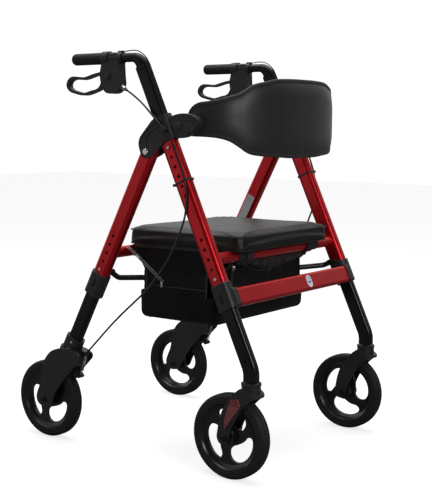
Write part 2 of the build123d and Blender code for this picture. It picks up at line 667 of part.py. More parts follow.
def wheel_rim(turn):
    """A three-spoked rim whose disc sits towards the outside, stopped with one spoke turned to an angle."""
    half = WHEEL_W / 2 - 2
    profile = [(half, 84), (half, 79), (half - 4, 76), (half - 6, 72), (6.5, 68), (6.5, 66)]
    profile += [(-1, 66), (-1, 68), (-half + 6, 73), (-half + 4, 76), (-half, 79), (-half, 84)]
    ring = revolve(Plane.XZ * make_face(Polyline(*profile, close=True)), Axis.X)
    disc = x_rod(0, 0, 70, -1, 6.5)
    for third in (0, 120, 240):
        disc -= slab(wheel_opening(turn + third), -10, 10)
    ring_cut = x_rod(0, 0, 67.5, -2, 8)
    hub = x_rod(0, 0, 20, -FORK_INSIDE + 1, FORK_INSIDE - 1)
    body = (ring - ring_cut) + disc + hub
    return body - x_rod(0, 0, AXLE_R + RUNNING, -40, 40)


def wheel_tyre():
    half = WHEEL_W / 2
    profile = [
        (-half + 2, 84), (-half, 86), (-half, 93), (-half + 2.5, 98), (-half + 6, 100.9), (-half + 9, WHEEL_R),
    ]
    profile += [(-x, r) for x, r in reversed(profile)]
    return revolve(Plane.XZ * make_face(Polyline(*profile, close=True)), Axis.X)


# ------------------------------------------------------------------ seat, braces and backrest
def seat_block(z0, z1, inset, edge):
    depth = SEAT_Y[1] - SEAT_Y[0] - 2 * inset
    middle = (SEAT_Y[0] + SEAT_Y[1]) / 2
    sketch = Pos(0, middle, z0) * RectangleRounded(2 * (SEAT_HALF_WIDTH - inset), depth, SEAT_CORNER - inset)
    block = extrude(sketch, z1 - z0)
    return fillet(block.faces().sort_by(Axis.Z)[-1].edges(), edge) if edge else block


def seat_base():
    """The seat board with its hinge clips round the front tube and rests over the rear tube."""
    board = seat_block(SEAT_BOARD_Z, SEAT_BOARD_Z + SEAT_BOARD_THICK, 4, 0)
    y, z = FRONT_TUBE
    for x in (-SEAT_CLIP_X, SEAT_CLIP_X):
        board += x_rod(y, z, CROSS_TUBE_R + 4.5, x - 14, x + 14)
        rest_top = SEAT_BOARD_Z + 1
        rest_low = REAR_TUBE[1] + CROSS_TUBE_R + 0.4
        board += Pos(x, REAR_TUBE[0] - 16, (rest_top + rest_low) / 2) * Box(30, 30, rest_top - rest_low)
    return board - x_rod(y, z, CROSS_TUBE_R + RUNNING, -SEAT_HALF_WIDTH, SEAT_HALF_WIDTH)


def seat_pad():
    return seat_block(SEAT_BOARD_Z + SEAT_BOARD_THICK, SEAT_TOP_Z, 0, 7)


def brace(side, pivot, x_mid, elbow_drop):
    """A dog-legged brace link from a leg's lug to the middle pivot, with the lug's stud."""
    py, pz = pivot
    my, mz = BRACE_MIDDLE
    toward = 1 if my > py else -1
    x_turn = HALF_TRACK - COLLAR_W / 2 - 22
    route = [
        Vector(side * (HALF_TRACK - COLLAR_W / 2 - 5 - BRACE_R), py, pz),
        Vector(side * x_turn, py + toward * 16, pz - elbow_drop),
        Vector(side * x_mid, py + toward * (16 + x_turn - x_mid), (pz + mz) / 2 - elbow_drop / 3),
        Vector(side * x_mid, my, mz),
    ]
    path = FilletPolyline(*route, radius=16)
    link = sweep(Plane(origin=path @ 0, z_dir=path % 0) * Circle(BRACE_R), path=path)
    inner = min(side * (HALF_TRACK - COLLAR_W / 2 - 5 - 2 * BRACE_R), side * (HALF_TRACK - LEG_W / 2 - 2))
    outer = max(side * (HALF_TRACK - COLLAR_W / 2 - 5 - 2 * BRACE_R), side * (HALF_TRACK - LEG_W / 2 - 2))
    link += x_rod(py, pz, 4, inner, outer)
    link += x_rod(py, pz, BRACE_R + 0.8, route[0].X - BRACE_R - 1, route[0].X + BRACE_R + 1)
    link += x_rod(my, mz, BRACE_R + 1.5, side * x_mid - BRACE_BOSS, side * x_mid + BRACE_BOSS)
    return link


def front_braces():
    bar = x_rod(*BRACE_MIDDLE, 6, -BRACE_FRONT_X, BRACE_FRONT_X)
    return bar + brace(1, BRACE_FRONT, BRACE_FRONT_X, 8) + brace(-1, BRACE_FRONT, BRACE_FRONT_X, 8)


def rear_braces():
    return Compound(
        children=[brace(1, BRACE_REAR, BRACE_REAR_X, 14), brace(-1, BRACE_REAR, BRACE_REAR_X, 14)]
    )


def bow_point(a, offset):
    """A point of the backrest's plan curve at angle a, moved outwards by offset."""
    power = 2 / 2.5
    x = (BACK_HALF_WIDTH + offset) * abs(sin(a)) ** power * (1 if a > 0 else -1)
    return x, BACK_Y - (BACK_BOW + offset) * abs(cos(a)) ** power


def backrest_pad():
    """The padded band that bows forward between the brackets, deepest in the middle."""
    steps = 24
    angles = [radians(-90 + 180 * i / steps) for i in range(steps + 1)]
    outer = Spline(*[bow_point(a, BACK_THICK / 2) for a in angles])
    inner = Spline(*[bow_point(a, -BACK_THICK / 2) for a in angles])
    ends = [Line(outer @ 0, inner @ 0), Line(outer @ 1, inner @ 1)]
    band = extrude(make_face([outer, inner, *ends]), 400)
    top, low = 867, 797
    front = make_face(
        [
            Spline((-270, top), (-230, 884), (-204, 895), (-176, 914), (-140, 923), (-110, 929), (-60, 931.5),
                   (0, 932), (60, 931.5), (110, 929), (140, 923), (176, 914), (204, 895), (230, 884), (270, top)),
            Spline((-270, low), (-240, 792), (-222, 784), (-204, 770), (-185, 756), (-158, 750), (-104, 746.5),
                   (0, 743), (104, 746.5), (158, 750), (185, 756), (204, 770), (222, 784), (240, 792), (270, low)),
            Line((-270, top), (-270, low)),
            Line((270, top), (270, low)),
        ]
    )
    return (Pos(0, 0, 650) * band) & extrude(Plane.XZ * front, 700, both=True)


def backrest_end():
    """The oval end fitting that holds the band, with the tongue that plugs into the socket."""
    tip = slab(fin_face(), *SOCKET_X) & front_of(SOCKET_END_Y - 0.5)
    tongue = slab(outline((-170, 806.5), (-121, 806.5), (-121, 831.5), (-170, 831.5), radius=2), -1.6, 3.6)
    body = tip + tongue
    for y, z in ((-168, 832), (-186, 829), (-173, 805)):
        body += x_rod(y, z, 3, SOCKET_X[1] - 1, SOCKET_X[1] + 1.2)
    return body


# ------------------------------------------------------------------ writing the nodes
def at(y, z, shape):
    return Pos(0, y, z) * shape


def side_nodes(side, name, front_turn, rear_turn):
    """The nodes that each side has as separate bodies, its wheels stopped at the given angles."""
    parts = {
        "handle_post": handle_post(),
        "handlebar": handlebar(),
        "hand_grip": hand_grip(),
        "brake_housing": brake_housing(),
        "upper_cables": upper_cables(),
        "brake_lever": brake_lever(),
        "handle_pin": snap_pin(front_point(POST_PIN_S), FRONT_UP),
        "front_leg_pin": snap_pin(front_point(LEG_PIN_S), -FRONT_UP),
        "rear_leg_pin": snap_pin(rear_point(REAR_PIN_T), -REAR_UP),
        "front_extension": front_extension(),
        "caster_fork": caster_fork(),
        "front_axle": axle(*FRONT_AXLE),
        "front_rim": at(*FRONT_AXLE, wheel_rim(front_turn)),
        "front_tyre": at(*FRONT_AXLE, wheel_tyre()),
        "rear_extension": rear_extension(),
        "rear_fork": rear_fork(),
        "rear_axle": axle(*REAR_AXLE),
        "brake_arm": brake_arm(),
        "rear_rim": at(*REAR_AXLE, wheel_rim(rear_turn)),
        "rear_tyre": at(*REAR_AXLE, wheel_tyre()),
    }
    return {f"{part}_{name}": place(shape, side) for part, shape in parts.items()}


def all_nodes():
    nodes = {
        "front_legs": both_sides(front_leg),
        "front_cross_tube": cross_tube(*FRONT_TUBE),
        "front_crossbar": crossbar(),
        "crossbar_badge": crossbar_badge(),
        "front_collars": both_sides(front_collar),
        "pivot_brackets": both_sides(pivot_bracket),
        "frame_bolts": both_sides(frame_bolts),
        "leg_cables": both_sides(leg_cable),
        "bag": bag(),
        "rear_legs": both_sides(rear_leg),
        "rear_cross_tube": cross_tube(*REAR_TUBE),
        "rear_collars": both_sides(rear_collar),
        "cable_guides": both_sides(cable_guide),
        "lower_cables": both_sides(lower_cable),
        "seat_base": seat_base(),
        "seat_pad": seat_pad(),
        "front_braces": front_braces(),
        "rear_braces": rear_braces(),
        "backrest_pad": backrest_pad(),
        "backrest_ends": both_sides(backrest_end),
    }
    nodes.update(side_nodes(1, "left", 109, 105))
    nodes.update(side_nodes(-1, "right", 54, 63))
    return nodes


if __name__ == "__main__":
    os.makedirs("parts", exist_ok=True)
    for node, shape in all_nodes().items():
        export_step(shape, f"parts/{node}.step")
        print(node)
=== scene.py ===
"""Looks of the rollator walker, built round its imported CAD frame."""
import math

import bmesh
import bpy
import numpy as np
from mathutils import Matrix, Vector, noise


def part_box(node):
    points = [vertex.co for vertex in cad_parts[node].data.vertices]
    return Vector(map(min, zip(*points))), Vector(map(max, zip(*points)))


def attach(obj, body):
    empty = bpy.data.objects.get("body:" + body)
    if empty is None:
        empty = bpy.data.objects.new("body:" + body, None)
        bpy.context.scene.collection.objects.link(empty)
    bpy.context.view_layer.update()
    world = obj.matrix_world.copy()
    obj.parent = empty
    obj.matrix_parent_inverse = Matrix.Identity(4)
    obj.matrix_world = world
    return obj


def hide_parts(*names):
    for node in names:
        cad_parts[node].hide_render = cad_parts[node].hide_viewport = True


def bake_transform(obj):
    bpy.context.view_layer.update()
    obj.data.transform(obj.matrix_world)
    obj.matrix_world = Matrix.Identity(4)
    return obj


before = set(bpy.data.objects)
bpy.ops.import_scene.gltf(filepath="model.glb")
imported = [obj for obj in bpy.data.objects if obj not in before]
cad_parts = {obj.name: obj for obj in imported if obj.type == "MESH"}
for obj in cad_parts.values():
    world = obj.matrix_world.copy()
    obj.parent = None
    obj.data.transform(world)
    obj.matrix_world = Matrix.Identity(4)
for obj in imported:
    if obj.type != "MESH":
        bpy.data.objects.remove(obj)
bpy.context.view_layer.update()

MM = 0.001
SIDES = (("left", 1), ("right", -1))
TRACK = 273.0                       # the wheels' and legs' plane, each side of the middle
FRONT_LEAN, REAR_LEAN = 24.75, 27.4  # the legs' lean in degrees
FRONT_FOOT = (-349, 263)            # (y, z) of the front leg's foot, from which its length counts
PIVOT = (-50, 757)                  # (y, z) of the fold pivot
BAR_Z = 982                         # the handlebar's height
BAR_R, BAR_BEND_R = 11.1, 34
POST_FRONT = 18.8                   # the handle post's half depth
CABLE_R, WIRE_R, WIRE_Z = 2.4, 1.4, 996.4
COLLAR_FACE = TRACK + 17.4          # the collars' outer face


def place(name, data):
    """A new object in the scene."""
    obj = bpy.data.objects.new(name, data)
    bpy.context.scene.collection.objects.link(obj)
    return obj


def own(piece, body, node=None):
    """Say which body a piece rides on, and the CAD node it stands for."""
    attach(piece, body)
    if node:
        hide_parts(node)


def new_node(nodes, kind, **values):
    """A shader node with constants on its sockets, named with _ for a space."""
    made = nodes.new("ShaderNode" + kind)
    set_sockets(made, **values)
    return made


def set_sockets(made, **values):
    for socket, value in values.items():
        made.inputs[socket.replace("_", " ")].default_value = value


def new_material(name):
    mat = bpy.data.materials.new(name)
    mat.use_nodes = True
    return mat, mat.node_tree.nodes, mat.node_tree.links, mat.node_tree.nodes["Principled BSDF"]


# ---- camera, light, floor
def add_camera():
    """A long lens ahead of the walker and to its right, looking slightly down."""
    yaw, pitch, roll = (math.radians(a) for a in (36.25, -6.58, 0.31))
    ahead = Vector((math.cos(yaw) * math.cos(pitch), math.sin(yaw) * math.cos(pitch), math.sin(pitch)))
    right = Vector((math.sin(yaw), -math.cos(yaw), 0))
    up = right.cross(ahead)
    right, up = (
        right * math.cos(roll) + up * math.sin(roll),
        up * math.cos(roll) - right * math.sin(roll),
    )
    data = bpy.data.cameras.new("camera")
    data.sensor_width = 36
    data.lens = 77.0
    cam = place("camera", data)
    basis = Matrix((right, up, -ahead)).transposed().to_4x4()
    cam.matrix_world = Matrix.Translation((-2.2544, -1.6997, 0.8177)) @ basis
    bpy.context.scene.camera = cam


def add_area(name, spot, target, size, power):
    data = bpy.data.lights.new(name, "AREA")
    data.shape = "RECTANGLE"
    data.size, data.size_y = size
    data.energy = power
    lamp = place(name, data)
    lamp.location = spot
    lamp.rotation_euler = (Vector(target) - Vector(spot)).to_track_quat("-Z", "Y").to_euler()


def add_world():
    """A white backdrop behind the walker and a dim room on the camera's side."""
    world = bpy.data.worlds.new("studio")
    world.use_nodes = True
    nodes, links = world.node_tree.nodes, world.node_tree.links
    nodes.clear()
    out = new_node(nodes, "OutputWorld")
    coord = new_node(nodes, "TexCoord")
    dot = new_node(nodes, "VectorMath")
    dot.operation = "DOT_PRODUCT"
    dot.inputs[1].default_value = (0.50, 0.62, 0.60)
    links.new(coord.outputs["Generated"], dot.inputs[0])
    level = new_node(nodes, "MapRange", From_Min=-0.05, From_Max=0.8, To_Min=0.03, To_Max=0.85)
    level.interpolation_type = "SMOOTHSTEP"
    links.new(dot.outputs["Value"], level.inputs["Value"])
    room = new_node(nodes, "Background", Color=(1, 1, 1, 1))
    links.new(level.outputs[0], room.inputs["Strength"])
    white = new_node(nodes, "Background", Color=(1, 1, 1, 1), Strength=1.05)
    path = new_node(nodes, "LightPath")
    mix = new_node(nodes, "MixShader")
    links.new(path.outputs["Is Camera Ray"], mix.inputs[0])
    links.new(room.outputs[0], mix.inputs[1])
    links.new(white.outputs[0], mix.inputs[2])
    links.new(mix.outputs[0], out.inputs[0])
    bpy.context.scene.world = world


def add_floor():
    """A pale floor that shows as white, with only soft shadows."""
    size = 12
    mesh = bpy.data.meshes.new("floor")
    mesh.from_pydata(
        [(-size, -size, 0), (size, -size, 0), (size, size, 0), (-size, size, 0)], [], [(0, 1, 2, 3)]
    )
    floor = place("floor", mesh)
    mat, nodes, links, shader = new_material("floor")
    set_sockets(shader, Base_Color=(0.42, 0.42, 0.42, 1), Roughness=0.9, Specular_IOR_Level=0.0)
    glow = new_node(nodes, "Emission", Strength=0.74)
    dull = new_node(nodes, "BsdfDiffuse", Color=(0.16, 0.16, 0.16, 1))
    path = new_node(nodes, "LightPath")
    seen = new_node(nodes, "MixShader")
    both = new_node(nodes, "AddShader")
    links.new(shader.outputs[0], both.inputs[0])
    links.new(glow.outputs[0], both.inputs[1])
    links.new(path.outputs["Is Camera Ray"], seen.inputs[0])
    links.new(dull.outputs[0], seen.inputs[1])
    links.new(both.outputs[0], seen.inputs[2])
    links.new(seen.outputs[0], nodes["Material Output"].inputs["Surface"])
    mesh.materials.append(mat)


bpy.context.scene.view_settings.view_transform = "Standard"
add_camera()
add_world()
add_floor()
add_area("key", (-1.3, -2.8, 1.5), (0, 0, 0.6), (1.1, 1.1), 30)
add_area("side", (-2.2, 1.3, 0.6), (0.27, -0.15, 0.6), (0.8, 1.2), 1.8)
add_area("top", (0.3, 0.2, 3.4), (0, 0, 0.4), (2.6, 2.6), 80)


# ---- materials
def noise_node(nodes, links, coord, scale, detail=3.0):
    tex = new_node(nodes, "TexNoise", Scale=scale, Detail=detail, Roughness=0.55)
    links.new(coord, tex.inputs["Vector"])
    return tex.outputs["Fac"]


def ramp(nodes, links, value, low, high):
    """A colour between two, by a noise value."""
    node = new_node(nodes, "ValToRGB")
    for stop, colour, position in zip(node.color_ramp.elements, (low, high), (0.3, 0.7)):
        stop.color = (*colour, 1)
        stop.position = position
    links.new(value, node.inputs[0])
    return node.outputs[0]


def remap(nodes, links, value, low, high):
    """A number between two, by a noise value."""
    node = new_node(nodes, "MapRange", From_Min=0.25, From_Max=0.75, To_Min=low, To_Max=high)
    links.new(value, node.inputs["Value"])
    return node.outputs[0]


def surface(
    name, dark, light, rough, metallic=0.0, specular=0.5, patch=9.0, grain=900.0, bump=0.15,
    depth=0.0002, coat=0.0, coat_rough=0.1, sheen=0.0, cells=False, weave=0.0,
):
    """A surface whose colour and gloss drift in soft patches, with a fine grain in its bump."""
    mat, nodes, links, shader = new_material(name)
    coord = new_node(nodes, "TexCoord").outputs["Object"]
    patches = noise_node(nodes, links, coord, patch)
    links.new(ramp(nodes, links, patches, dark, light), shader.inputs["Base Color"])
    smudge = noise_node(nodes, links, coord, patch * 5, detail=5.0)
    links.new(remap(nodes, links, smudge, *rough), shader.inputs["Roughness"])
    set_sockets(shader, Metallic=metallic, Specular_IOR_Level=specular, Coat_Weight=coat,
                Coat_Roughness=coat_rough, Sheen_Weight=sheen)
    if weave:
        height = None
        for axis in ("X", "Z", "Y"):
            wave = new_node(nodes, "TexWave", Scale=weave, Distortion=0.6)
            wave.bands_direction = axis
            links.new(coord, wave.inputs["Vector"])
            if height is None:
                height = wave.outputs["Fac"]
                continue
            add = new_node(nodes, "Math")
            links.new(height, add.inputs[0])
            links.new(wave.outputs["Fac"], add.inputs[1])
            height = add.outputs[0]
    elif cells:
        cell = new_node(nodes, "TexVoronoi", Scale=grain)
        cell.feature = "DISTANCE_TO_EDGE"
        links.new(coord, cell.inputs["Vector"])
        height = cell.outputs["Distance"]
    else:
        height = noise_node(nodes, links, coord, grain, detail=2.0)
    relief = new_node(nodes, "Bump", Strength=bump, Distance=depth)
    links.new(height, relief.inputs["Height"])
    links.new(relief.outputs[0], shader.inputs["Normal"])
    return mat


MAT = {
    "red": surface("red_metallic", (0.56, 0.009, 0.015), (0.64, 0.012, 0.019), (0.30, 0.40),
            metallic=0.8, grain=2600, bump=0.25, depth=0.00008, coat=0.15, coat_rough=0.12),
    "gloss": surface("black_gloss", (0.003, 0.003, 0.003), (0.005, 0.005, 0.005), (0.24, 0.34),
            specular=0.26, grain=1500, bump=0.06, depth=0.00008, coat=0.12, coat_rough=0.12),
    "post": surface("black_satin", (0.004, 0.0036, 0.0036), (0.006, 0.0055, 0.0055), (0.32, 0.42),
            specular=0.28, grain=1500, bump=0.08, depth=0.00008),
    "plastic": surface("black_moulded", (0.015, 0.0147, 0.0143), (0.022, 0.0215, 0.021), (0.40, 0.52),
            specular=0.45, grain=1700, bump=0.30, depth=0.00012),
    "rim": surface("black_rim", (0.008, 0.008, 0.008), (0.012, 0.0115, 0.011), (0.24, 0.36),
            grain=1100, bump=0.08, depth=0.0001),
    "tyre": surface("black_tyre", (0.011, 0.0105, 0.010), (0.020, 0.019, 0.018), (0.62, 0.78),
            specular=0.35, grain=1300, bump=0.35, depth=0.0002),
    "grip": surface("black_grip", (0.010, 0.010, 0.0095), (0.017, 0.0165, 0.016), (0.58, 0.72),
            specular=0.35, grain=1900, bump=0.4, depth=0.00015),
    "steel": surface("bright_steel", (0.52, 0.52, 0.53), (0.68, 0.68, 0.68), (0.20, 0.34),
            metallic=1.0, grain=1200, bump=0.1, depth=0.00006),
    "wire": surface("grey_wire", (0.10, 0.10, 0.10), (0.15, 0.15, 0.15), (0.30, 0.42),
            metallic=0.9, grain=1200, bump=0.1, depth=0.00006),
    "vinyl": surface("black_vinyl", (0.006, 0.0058, 0.0055), (0.009, 0.0087, 0.0083), (0.42, 0.50),
            specular=0.36, grain=520, bump=0.35, depth=0.00025, cells=True),
    "nylon": surface("black_nylon", (0.0035, 0.0032, 0.0032), (0.0065, 0.006, 0.006), (0.6, 0.75),
            specular=0.22, weave=420, bump=0.35, depth=0.0002, sheen=0.02),
    "apron": surface("black_apron", (0.012, 0.0115, 0.0115), (0.022, 0.021, 0.021), (0.42, 0.55),
            specular=0.4, weave=420, bump=0.3, depth=0.0002, sheen=0.04),
    "hem": surface("black_hem_tape", (0.010, 0.0095, 0.0095), (0.018, 0.017, 0.017), (0.30, 0.42),
            weave=800, bump=0.3, depth=0.00012, sheen=0.03),
    "webbing": surface("black_webbing", (0.008, 0.0078, 0.0078), (0.014, 0.0135, 0.0135), (0.5, 0.62),
            specular=0.4, weave=950, bump=0.5, depth=0.0002, sheen=0.03),
    "thread": surface("dark_thread", (0.020, 0.019, 0.019), (0.035, 0.034, 0.034), (0.5, 0.6),
            specular=0.4, patch=40),
    "band": surface("black_band", (0.018, 0.0175, 0.0175), (0.024, 0.023, 0.023), (0.42, 0.50),
            grain=2100, bump=0.25, depth=0.00012, sheen=0.05),
    "binding": surface("black_binding", (0.022, 0.021, 0.021), (0.032, 0.031, 0.031), (0.6, 0.72),
            specular=0.35, weave=700, bump=0.3, depth=0.00015, sheen=0.05),
    "cable": surface("black_jacket", (0.009, 0.009, 0.009), (0.014, 0.014, 0.014), (0.35, 0.5)),
    "reflector": surface("red_reflector", (0.16, 0.003, 0.008), (0.24, 0.005, 0.012), (0.10, 0.18),
            specular=0.6, grain=650, bump=0.5, depth=0.0005, cells=True, coat=0.8),
    # the reflector's lower part: a lighter, pinker copy of the red lens's colour, which is a painted
    # reflection
    "reflector_painted_reflection": surface("red_reflector_painted_reflection", (0.20, 0.035, 0.042), (0.27, 0.05, 0.058), (0.20, 0.3),
            specular=0.6, grain=650, bump=0.5, depth=0.0005, cells=True, coat=0.6),
    "label": surface("pale_label", (0.42, 0.46, 0.48), (0.52, 0.55, 0.57), (0.35, 0.5), patch=30),
    "white": surface("white_print", (0.75, 0.76, 0.78), (0.82, 0.83, 0.85), (0.25, 0.35), coat=0.5),
    "blue": surface("blue_print", (0.03, 0.14, 0.42), (0.05, 0.20, 0.52), (0.2, 0.3), coat=0.5),
}

CAD_MATERIALS = {
    "red": "front_legs front_cross_tube front_crossbar rear_legs rear_cross_tube",
    "white": "crossbar_badge",
    "wire": "cable_guides",
    "steel": "frame_bolts handle_pin front_leg_pin rear_leg_pin",
    "gloss": "front_braces rear_braces front_extension rear_extension",
    "post": "handle_post handlebar front_axle rear_axle",
    "rim": "front_rim rear_rim",
    "plastic": "front_collars rear_collars pivot_brackets seat_base backrest_ends brake_housing brake_lever "
               "caster_fork rear_fork brake_arm",
}


def paint(obj, key):
    obj.data.materials.clear()
    obj.data.materials.append(MAT[key])


def smooth(obj, angle=38):
    obj.data.shade_smooth()
    obj.data.set_sharp_from_angle(angle=math.radians(angle))


KEY_OF = {node: key for key, row in CAD_MATERIALS.items() for node in row.split()}
for node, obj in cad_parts.items():
    key = KEY_OF.get(node) or KEY_OF.get(node.rsplit("_", 1)[0])
    if key:
        paint(obj, key)


# ---- mesh helpers
def make_mesh(name, verts, faces, key, angle=38):
    """A mesh object from points in millimetres."""
    mesh = bpy.data.meshes.new(name)
    mesh.from_pydata([tuple(c * MM for c in v) for v in verts], [], faces)
    mesh.validate()
    bm = bmesh.new()
    bm.from_mesh(mesh)
    bmesh.ops.remove_doubles(bm, verts=bm.verts, dist=1e-6)
    bmesh.ops.recalc_face_normals(bm, faces=bm.faces)
    bm.to_mesh(mesh)
    bm.free()
    obj = place(name, mesh)
    paint(obj, key)
    smooth(obj, angle)
    return obj


def grid_faces(rows, cols, close_rows=False, close_cols=False):
    """Quads over points listed row by row."""
    faces = []
    for i in range(rows if close_rows else rows - 1):
        for j in range(cols if close_cols else cols - 1):
            a, b = i * cols + j, i * cols + (j + 1) % cols
            c, d = ((i + 1) % rows) * cols + (j + 1) % cols, ((i + 1) % rows) * cols + j
            faces.append((a, b, c, d))
    return faces


def circle(steps):
    """The cosine and sine of even steps round a circle."""
    turns = (2 * math.pi * i / steps for i in range(steps))
    return [(math.cos(a), math.sin(a)) for a in turns]


def lathe(name, profile, key, origin, steps, angle, axis="x"):
    """A solid of revolution; profile is a closed list of (along, radius) in millimetres."""
    verts = []
    for c, s in circle(steps):
        for along, r in profile:
            p = (along, r * c, r * s) if axis == "x" else (r * c, along, r * s)
            verts.append(tuple(p[k] + origin[k] for k in range(3)))
    return make_mesh(name, verts, grid_faces(steps, len(profile), True, True), key, angle)


def capped_lathe(name, profile, key, origin, direction, steps=40, angle=38):
    """A solid of revolution about any direction; its profile starts and ends on the axis."""
    w = Vector(direction).normalized()
    u = w.orthogonal().normalized()
    v = w.cross(u)
    verts = []
    o = Vector(origin)
    for along, r in profile:
        for c, s in circle(steps):
            verts.append(tuple(o + w * along + (u * c + v * s) * r))
    faces = grid_faces(len(profile), steps, False, True)
    return make_mesh(name, verts, faces, key, angle)


def line(points):
    """Points in millimetres along the NURBS curve that these points control."""
    data = bpy.data.curves.new("line", "CURVE")
    data.dimensions = "3D"
    spline = data.splines.new("NURBS")
    spline.points.add(len(points) - 1)
    for p, q in zip(spline.points, points):
        p.co = (*[c * MM for c in q], 1)
    spline.order_u = 3
    spline.use_endpoint_u = True
    spline.resolution_u = 12
    obj = bpy.data.objects.new("line", data)
    mesh = bpy.data.meshes.new_from_object(obj)
    found = [Vector(v.co) / MM for v in mesh.vertices]
    bpy.data.objects.remove(obj)
    bpy.data.meshes.remove(mesh)
    bpy.data.curves.remove(data)
    return found


def sweep(name, points, section, key, closed=False, up=None, side_way=None, angle=50):
    """A tube along points; section gives (sideways, upward) offsets, all in millimetres."""
    n = len(points)
    verts = []
    frame_up = Vector(up) if up else None
    fixed = Vector(side_way).normalized() if side_way else None
    previous = None
    for i, p in enumerate(points):
        a = points[(i - 1) % n] if closed or i else points[i]
        b = points[(i + 1) % n] if closed or i < n - 1 else points[i]
        t = (Vector(b) - Vector(a)).normalized()
        if fixed is not None:
            side = fixed
        elif frame_up is not None:
            side = t.cross(frame_up).normalized()
        elif previous is None:
            side = t.orthogonal().normalized()
        else:
            side = (previous - t * previous.dot(t)).normalized()
        previous = side
        lift = side.cross(t).normalized()
        for x, y in section:
            verts.append(tuple(Vector(p) + side * x + lift * y))
    k = len(section)
    faces = grid_faces(n, k, closed, True)
    if not closed:
        faces += [tuple(range(k))[::-1], tuple(range((n - 1) * k, n * k))]
    return make_mesh(name, verts, faces, key, angle)


def ring_section(r, sides):
    return [(r * c, r * s) for c, s in circle(sides)]


def flat_section(half_width, half_height):
    w, h = half_width, half_height
    return [(-w, -h), (w, -h), (w, h), (-w, h)]


def plate(name, outline, x0, x1, key, bevel=0.0):
    """A flat plate drawn in (y, z), between two X positions."""
    n = len(outline)
    verts = [(x0, y, z) for y, z in outline] + [(x1, y, z) for y, z in outline]
    faces = [tuple(range(n)), tuple(range(n, 2 * n))[::-1]]
    faces += [(i, (i + 1) % n, n + (i + 1) % n, n + i) for i in range(n)]
    obj = make_mesh(name, verts, faces, key, 35)
    if bevel:
        mod = obj.modifiers.new("bevel", "BEVEL")
        mod.width = bevel * MM
        mod.segments = 3
        mod.limit_method = "ANGLE"
    return obj


def rounded(points, radius):
    """A closed outline with its corners rounded."""
    out = []
    n, steps = len(points), 5
    for i in range(n):
        p0, p, p1 = (Vector(points[(i + k) % n]) for k in (-1, 0, 1))
        a, b = (p0 - p), (p1 - p)
        cut = min(radius, 0.45 * a.length, 0.45 * b.length)
        a, b = p + a.normalized() * cut, p + b.normalized() * cut
        for s in range(steps + 1):
            t = s / steps
            out.append(tuple(a * (1 - t) ** 2 + p * 2 * t * (1 - t) + b * t ** 2))
    return out


def apply(obj, mod):
    bpy.context.view_layer.objects.active = obj
    bpy.ops.object.modifier_apply(modifier=mod.name)


def puff(obj, pinned, pressure, cap, voxel, frames=20):
    """Blow a closed shape up a little with the cloth solver, and keep the result as its mesh."""
    remesh = obj.modifiers.new("remesh", "REMESH")
    remesh.mode = "VOXEL"
    remesh.voxel_size = voxel * MM
    apply(obj, remesh)
    mesh = obj.data
    start = np.array([v.co for v in mesh.vertices], float)
    group = obj.vertex_groups.new(name="pin")
    group.add([i for i, co in enumerate(start) if pinned(co / MM)], 1.0, "REPLACE")
    cloth = obj.modifiers.new("cloth", "CLOTH")
    cloth.settings.quality = 5
    cloth.settings.mass = 0.3
    cloth.settings.tension_stiffness = 25
    cloth.settings.compression_stiffness = 25
    cloth.settings.shear_stiffness = 15
    cloth.settings.bending_stiffness = 0.6
    cloth.settings.use_pressure = True
    cloth.settings.uniform_pressure_force = pressure
    cloth.settings.vertex_group_mass = "pin"
    cloth.settings.effector_weights.gravity = 0
    cloth.collision_settings.use_collision = False
    cloth.point_cache.frame_start, cloth.point_cache.frame_end = 1, frames
    for f in range(1, frames + 1):
        bpy.context.scene.frame_set(f)
    shown = obj.evaluated_get(bpy.context.evaluated_depsgraph_get())
    done = np.array([v.co for v in shown.data.vertices], float)
    obj.modifiers.remove(cloth)
    bpy.context.scene.frame_set(1)
    move = done - start
    far = np.linalg.norm(move, axis=1, keepdims=True)
    move *= np.minimum(1, cap * MM / np.maximum(far, 1e-9))
    mesh.vertices.foreach_set("co", (start + move).astype(np.float32).ravel())
    mesh.update()
    obj.vertex_groups.clear()


def subdivide(obj):
    mod = obj.modifiers.new("subdivision", "SUBSURF")
    mod.levels = mod.render_levels = 1
    mod.use_limit_surface = False
    mod.quality = 1
    apply(obj, mod)
    obj.data.shade_smooth()


# ---- seat cushion
SEAT_X, SEAT_Y0, SEAT_Y1 = 205.0, -271.0, 87.0
SEAT_Z0, SEAT_Z1, SEAT_CORNER = 532.4, 565.0, 30.0
SEAT_SKIRT_Z = 521.5        # the cover is wrapped round the board's edge


def seat_loop(inset):
    """The seat's outline, inset by a distance, as points (x, y)."""
    r, steps = max(SEAT_CORNER - inset, 4.0), 10
    x, y0, y1 = SEAT_X - inset, SEAT_Y0 + inset, SEAT_Y1 - inset
    out = []
    for cx, cy, a0 in ((x - r, y1 - r, 0), (-x + r, y1 - r, 90), (-x + r, y0 + r, 180), (x - r, y0 + r, 270)):
        for i in range(steps + 1):
            a = math.radians(a0 + 90 * i / steps)
            out.append((cx + r * math.cos(a), cy + r * math.sin(a)))
    return out


